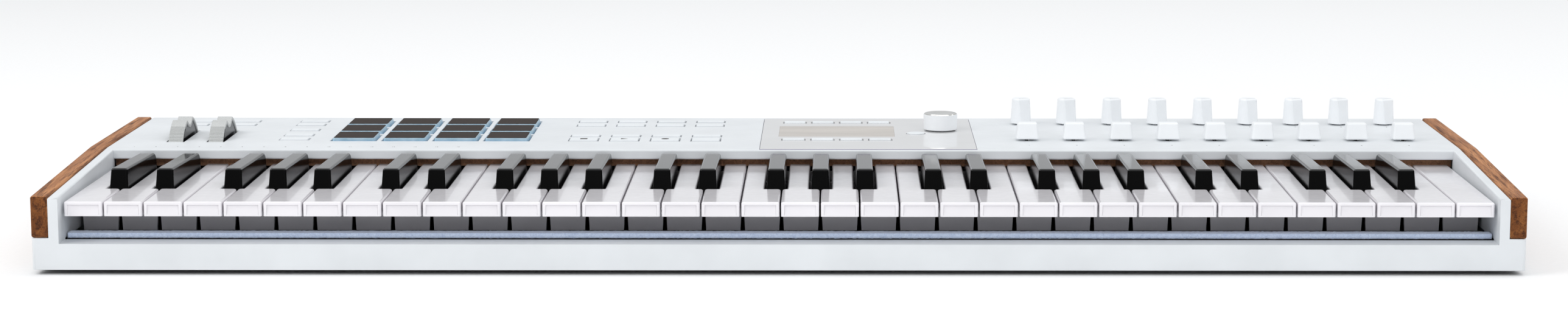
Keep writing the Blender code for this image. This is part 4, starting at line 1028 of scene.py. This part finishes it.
# ---- display -------------------------------------------------------------------------
def make_display():
    """The gloss plate with its outer sides coloured dark violet as painted shade of the gap round it, and the
    screen below its window.
    """
    low, high = box_mm("display_plate")
    bm = copy_of("display_plate")
    # Outer side faces take the dark violet material: painted shade of the gap round the plate.
    for face in bm.faces:
        middle = face.calc_center_median()
        inside_x = low.x + 0.1 < middle.x < high.x - 0.1
        inside_y = low.y + 0.1 < middle.y < high.y - 0.1
        if abs(face.normal.z) < 0.5 and not (inside_x and inside_y):
            face.material_index = 1
    plate_top = high.z
    screen_low, screen_high = box_mm("display_module")
    rims = [
        edge
        for edge in sharp(bm.edges, 40.0)
        if min(vert.co.z for vert in edge.verts) > high.z - 0.02
        and not (
            screen_low.x - 1 < edge.verts[0].co.x < screen_high.x + 1
            and screen_low.y - 1 < edge.verts[0].co.y < screen_high.y + 1
        )
    ]
    for face in soften(bm, rims, PLATE_ROUNDING, 2):
        face.material_index = 0
    materials = [MATERIALS["plate"], MATERIALS["plate_edge_shade"]]
    finish_piece("display_cover", bm, materials, "root", ["display_plate"])
    bm = bmesh.new()
    plan = (
        screen_low.x - SCREEN_FIT,
        screen_high.x + SCREEN_FIT,
        screen_low.y - SCREEN_FIT,
        screen_high.y + SCREEN_FIT,
    )
    rounded_cap(bm, plan, screen_low.z, plate_top - SCREEN_SUNK, 0.12, 0.03, 0.0, 1)
    finish_piece("display_screen", bm, [MATERIALS["screen"]], "root", ["display_module"])


def make_display_buttons():
    """Soft buttons beside the screen, their lamp lines, and the round button."""
    caps, top = make_buttons("display_button_mat", "soft_button")
    plate_top = box_mm("display_plate")[1].z
    for number, (x0, x1, y0, y1) in enumerate(caps, 1):
        if x0 > SCREEN_RIGHT:
            radius = (x1 - x0) / 2
            centre = ((x0 + x1) / 2, (y0 + y1) / 2, 0)
            low_z = box_mm("display_button_mat")[0].z
            profile = [
                (0, low_z),
                (radius - 0.05, low_z),
                (radius, top - 0.5),
                (radius - 0.12, top - 0.18),
                (radius - 0.5, top - 0.03),
                (radius * 0.5, top + 0.02),
                (0, top + 0.03),
            ]
            bm = bmesh.new()
            add_turned(bm, profile, centre, 48)
            finish_piece("round_button", bm, [MATERIALS["button"]], "display_button_mat")
        else:
            left, right, front = x0 + LAMP_SHIFT, x1 - LAMP_SHIFT, y1 + LAMP_SHIFT
            rear = front + LAMP_DEPTH
            outline = [(left, front), (right, front), (right, rear), (left, rear)]
            make_print(f"lamp_line_{number}", outline, plate_top, "root", "lamp_line")
    make_mat_sheet("display_mat_sheet", "display_button_mat")


def make_encoder():
    """The push encoder: a white drum capped with a dished metal disc in a bright ring."""
    low, high = box_mm("encoder_knob")
    centre = ((low.x + high.x) / 2, (low.y + high.y) / 2, 0)
    radius = (high.x - low.x) / 2
    top = high.z
    bm = bmesh.new()
    drum = [
        (ENCODER_BORE, low.z + 0.9),
        (radius - 1.6, low.z + 0.9),
        (radius - 1.3, low.z - ENCODER_SKIRT),
        (radius - 0.4, low.z - ENCODER_SKIRT),
        (radius - 0.15, low.z - 0.35),
        (radius - 0.02, top - 0.9),
        (radius - 0.05, top - 0.75),
        (radius - 0.25, top - 0.68),
        (radius - 2.0, top - 0.8),
        (ENCODER_BORE, top - 1.5),
    ]
    add_turned(bm, drum + drum[:1], centre, 72)
    finish_piece("encoder_drum", bm, [MATERIALS["knob"]], "encoder_knob", smooth=32.0)
    bm = bmesh.new()
    cap = [
        (0, top - 1.35),
        (radius - 0.6, top - 1.35),
        (radius - 0.3, top - 0.72),
        (radius - 0.32, top - 0.55),
        (radius - 0.85, top - 0.08),
        (radius - 1.05, top),
        (radius - 1.3, top - 0.02),
        (radius - 3.4, top - 0.16),
        (radius * 0.4, top - 0.3),
        (0, top - 0.34),
    ]
    add_turned(bm, cap, centre, 72)
    materials = [MATERIALS["encoder"]]
    finish_piece("encoder_cap", bm, materials, "encoder_knob", ["encoder_knob"], smooth=24.0)


# ---- knobs and faders ----------------------------------------------------------------
def make_knob(number):
    """A tapered knob with one flat pointer facet, standing clear of the panel on its shaft."""
    node = f"knob_{number}"
    low, high = box_mm(node)
    panel = box_mm("top_case")[1].z
    base, top = panel + KNOB_GAP, high.z
    x, y = STRIP_X[number], knob_row
    bm = bmesh.new()
    place = Matrix.Translation((x, y, (base + top) / 2))
    bmesh.ops.create_cone(
        bm,
        cap_ends=True,
        segments=56,
        radius1=KNOB_BASE_RADIUS,
        radius2=KNOB_TOP_RADIUS,
        depth=top - base,
        matrix=place,
    )
    turn = math.radians(KNOB_FLAT_TURN)
    facing = Vector((math.cos(turn), math.sin(turn), 0.12))
    edge_point = Vector((x, y, base)) + KNOB_BASE_RADIUS * KNOB_FLAT * 1.12 * Vector((facing.x, facing.y, 0))
    cut = bmesh.ops.bisect_plane(
        bm,
        geom=bm.verts[:] + bm.edges[:] + bm.faces[:],
        plane_co=edge_point,
        plane_no=facing,
        clear_outer=True,
    )
    open_edges = [item for item in cut["geom_cut"] if isinstance(item, bmesh.types.BMEdge)]
    bmesh.ops.contextual_create(bm, geom=open_edges)
    bmesh.ops.recalc_face_normals(bm, faces=bm.faces)
    steep = [edge for edge in sharp(bm.edges, 22.0) if abs(edge.verts[0].co.z - edge.verts[1].co.z) > 5.0]
    soften(bm, steep, KNOB_FACET_ROUNDING, 3)
    top_rim = [edge for edge in sharp(bm.edges, 20.0) if min(vert.co.z for vert in edge.verts) > top - 0.01]
    soften(bm, top_rim, KNOB_TOP_ROUNDING, 5)
    foot_rim = [edge for edge in sharp(bm.edges, 40.0) if max(vert.co.z for vert in edge.verts) < base + 0.01]
    soften(bm, foot_rim, KNOB_FOOT_ROUNDING, 2)
    bmesh.ops.create_cone(
        bm,
        cap_ends=True,
        segments=20,
        radius1=KNOB_SHAFT_RADIUS,
        radius2=KNOB_SHAFT_RADIUS,
        depth=base + 1.0 - low.z,
        matrix=Matrix.Translation((x, y, (low.z + base + 1.0) / 2)),
    )
    finish_piece(f"knob_cap_{number}", bm, [MATERIALS["knob"]], node, [node], smooth=30.0)


def make_fader(number):
    """A fader cap with flared sides, on its thin stem."""
    node = f"fader_cap_{number}"
    low, high = box_mm(node)
    x, y = (low.x + high.x) / 2, (low.y + high.y) / 2
    base, top = box_mm("top_case")[1].z + FADER_GAP, high.z
    half_x, half_y = FADER_BASE[0] / 2, FADER_BASE[1] / 2
    bm = bmesh.new()
    block = add_block(bm, (x - half_x, y - half_y, base), (x + half_x, y + half_y, top))
    for vert in block:
        if vert.co.z > base + 1.0:
            vert.co.x -= math.copysign((FADER_BASE[0] - FADER_TOP[0]) / 2, vert.co.x - x)
            vert.co.y -= math.copysign((FADER_BASE[1] - FADER_TOP[1]) / 2, vert.co.y - y)
    corners = [edge for edge in bm.edges if abs(edge.verts[0].co.z - edge.verts[1].co.z) > 1.0]
    soften(bm, corners, FADER_CORNER, 5)
    rims = [edge for edge in sharp(bm.edges, 40.0) if abs(edge.verts[0].co.z - edge.verts[1].co.z) < 0.05]
    soften(bm, rims, FADER_ROUNDING, 4)
    stem = add_block(
        bm,
        (x - FADER_STEM[0] / 2, y - FADER_STEM[1] / 2, low.z),
        (x + FADER_STEM[0] / 2, y + FADER_STEM[1] / 2, base + 1.0),
    )
    for face in {face for vert in stem for face in vert.link_faces}:
        face.material_index = 1
    finish_piece(f"fader_{number}", bm, [MATERIALS["knob"], MATERIALS["socket"]], node, [node])


# ---- rear and underside --------------------------------------------------------------
def make_ring(name, x, y, z, inner, outer, thick, material):
    """A turned washer lying on the rear wall."""
    bm = bmesh.new()
    profile = [
        (inner, 0),
        (outer - 0.3, 0),
        (outer, 0.2),
        (outer, thick - 0.25),
        (outer - 0.3, thick),
        (inner + 0.3, thick),
        (inner, thick - 0.3),
        (inner, 0),
    ]
    add_turned(bm, profile, (x, y, z), 36, "Y")
    finish_piece(name, bm, [MATERIALS[material]], "root")


def make_rear():
    """Washers round the pedal jacks, pins in the round data sockets and a tongue in the small one."""
    rear = box_mm("top_case")[1].y
    for number, x in enumerate(JACK_X, 1):
        make_ring(f"jack_washer_{number}", x, rear - 0.6, JACK_HEIGHT, 3.5, 5.5, 1.2, "plated")
    pin_profile = [(0, -0.2), (0.75, -0.2), (0.75, 0.5), (0.55, 0.75), (0, 0.8)]
    for socket, x in enumerate(MIDI_X, 1):
        for pin in range(PINS):
            turn = math.radians(180 + 45 * pin)
            across, up = PIN_CIRCLE * math.cos(turn), PIN_CIRCLE * math.sin(turn)
            bm = bmesh.new()
            add_turned(bm, pin_profile, (x + across, rear - 1.0, JACK_HEIGHT + up), 16, "Y")
            finish_piece(f"data_pin_{socket}_{pin + 1}", bm, [MATERIALS["plated"]], "root")
    low, high = box_mm("usb_socket")
    middle = (low + high) / 2
    bm = bmesh.new()
    plan = (middle.x - 3.2, middle.x + 3.2, low.y + 1.5, high.y - 1.0)
    rounded_cap(bm, plan, middle.z - 0.45, middle.z + 0.45, 0.2, 0.1)
    finish_piece("usb_tongue", bm, [MATERIALS["socket"]], "root")


def make_foot(node):
    """A turned rubber foot with a soft rim and a dished sole."""
    low, high = box_mm(node)
    centre = ((low.x + high.x) / 2, (low.y + high.y) / 2, 0)
    radius = (high.x - low.x) / 2
    profile = [
        (0, 0.35),
        (radius - 3.0, 0.3),
        (radius - 2.2, 0.0),
        (radius - 1.3, 0.0),
        (radius - 0.8, 0.3),
        (radius, high.z - 0.3),
        (radius - 0.1, high.z),
        (0, high.z),
    ]
    bm = bmesh.new()
    add_turned(bm, profile, centre, 48)
    finish_piece(f"{node}_pad", bm, [MATERIALS["foot"]], "root", [node])


def make_bottom_screws():
    """Pan-head screws that hold the bottom plate."""
    low, high = box_mm("bottom_plate")
    z = low.z
    profile = [(0, z - 0.6), (1.0, z - 1.5), (2.6, z - 1.2), (3.2, z - 0.6), (3.3, z + 0.1), (0, z + 0.1)]
    number = 0
    for y in (low.y + SCREW_INSET, high.y - SCREW_INSET):
        for share in SCREW_SHARES:
            number += 1
            x = low.x + (high.x - low.x) * share
            bm = bmesh.new()
            add_turned(bm, profile, (x, y, 0), 24)
            for half_x, half_y in ((1.5, 0.25), (0.25, 1.5)):
                add_block(bm, (x - half_x, y - half_y, z - 1.56), (x + half_x, y + half_y, z - 1.2))
            finish_piece(f"bottom_screw_{number:02d}", bm, [MATERIALS["plated"]], "root")


# ---- stage ---------------------------------------------------------------------------
def make_camera():
    """A long lens at the player's height."""
    level = math.cos(CAMERA_PITCH)
    forward = Vector((math.sin(CAMERA_YAW) * level, math.cos(CAMERA_YAW) * level, -math.sin(CAMERA_PITCH)))
    right = Vector((math.cos(CAMERA_YAW), -math.sin(CAMERA_YAW), 0))
    above = right.cross(forward)
    across = math.cos(CAMERA_ROLL) * right + math.sin(CAMERA_ROLL) * above
    upward = -math.sin(CAMERA_ROLL) * right + math.cos(CAMERA_ROLL) * above
    data = bpy.data.cameras.new("camera")
    data.lens = CAMERA_LENS
    data.sensor_width = SENSOR_WIDTH
    data.shift_x = CAMERA_SHIFT
    data.clip_start, data.clip_end = 0.05, 60.0
    camera = bpy.data.objects.new("camera", data)
    turn = Matrix((across, upward, -forward)).transposed()
    camera.matrix_world = Matrix.LocRotScale(Vector(CAMERA_PLACE), turn.to_quaternion(), None)
    bpy.context.scene.collection.objects.link(camera)
    bpy.context.scene.camera = camera


def make_softbox(name, place, aim, size, power, colour):
    """A rectangular studio light aimed at a point."""
    data = bpy.data.lights.new(name, "AREA")
    data.shape = "RECTANGLE"
    data.size, data.size_y = size
    data.energy = power
    data.color = colour
    light = bpy.data.objects.new(name, data)
    light.location = place
    light.rotation_mode = "QUATERNION"
    light.rotation_quaternion = (Vector(aim) - Vector(place)).to_track_quat("-Z", "Y")
    bpy.context.scene.collection.objects.link(light)


def make_stage():
    """Pale floor, even sky light and soft boxes."""
    bm = bmesh.new()
    bmesh.ops.create_grid(bm, x_segments=8, y_segments=8, size=FLOOR_HALF)
    bmesh.ops.scale(bm, vec=(MM,) * 3, verts=bm.verts)
    mesh = bpy.data.meshes.new("floor")
    bm.to_mesh(mesh)
    bm.free()
    mesh.materials.append(floor_paper())
    floor = bpy.data.objects.new("floor", mesh)
    bpy.context.scene.collection.objects.link(floor)
    world = bpy.data.worlds.new("studio")
    world.use_nodes = True
    backdrop = world.node_tree.nodes["Background"]
    backdrop.inputs["Color"].default_value = (*SKY_COLOUR, 1.0)
    backdrop.inputs["Strength"].default_value = SKY_STRENGTH
    bpy.context.scene.world = world
    bpy.context.scene.view_settings.view_transform = "Standard"
    for name, values in SOFTBOXES.items():
        make_softbox(name, *values)


# ---- build ---------------------------------------------------------------------------
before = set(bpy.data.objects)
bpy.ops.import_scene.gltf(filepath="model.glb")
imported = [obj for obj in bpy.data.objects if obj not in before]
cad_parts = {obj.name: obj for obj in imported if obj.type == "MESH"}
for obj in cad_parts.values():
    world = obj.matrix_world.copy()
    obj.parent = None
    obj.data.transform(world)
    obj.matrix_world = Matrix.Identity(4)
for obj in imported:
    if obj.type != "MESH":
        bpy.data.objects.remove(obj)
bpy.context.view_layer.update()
MATERIALS = make_materials()
STRIP_X = {}
for strip in range(1, STRIPS + 1):
    fader_low, fader_high = box_mm(f"fader_cap_{strip}")
    STRIP_X[strip] = (fader_low.x + fader_high.x) / 2
knob_row = box_mm("knob_1")[1].y - KNOB_BASE_RADIUS
make_camera()
make_stage()

CAD_FINISHES = {
    "bottom_plate": "steel",
    "keybed_chassis": "steel",
    "wheel_bracket": "plated",
    "panel_board": "board",
    "jack_socket_block": "socket",
    "usb_socket": "plated",
    "power_switch": "socket",
    "encoder_shaft": "plated",
}
for node_name, finish_name in CAD_FINISHES.items():
    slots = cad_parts[node_name].data.materials
    slots.clear()
    slots.append(MATERIALS[finish_name])

make_case()
make_cheeks()
make_keys()
make_felt("back_felt", "key_back_felt", "brown_felt", BACK_FELT_REACH)
make_felt("stop_felt", "key_stop_felt", "pale_felt")
make_wheel("pitch_wheel_grip", "pitch_wheel")
make_wheel("modulation_wheel_grip", "modulation_wheel")
make_pads()
make_buttons("left_button_mat", "left_button")
make_mat_sheet("left_mat_sheet", "left_button_mat")
centre_caps, centre_top = make_buttons("centre_button_mat", "centre_button")
make_mat_sheet("centre_mat_sheet", "centre_button_mat")
make_transport_marks(centre_caps, centre_top)
make_panel_numbers()
make_display()
make_display_buttons()
make_encoder()
for strip in range(1, STRIPS + 1):
    make_knob(strip)
    make_fader(strip)
make_rear()
for foot in ("foot_front_left", "foot_front_right", "foot_rear_left", "foot_rear_right"):
    make_foot(foot)
make_bottom_screws()
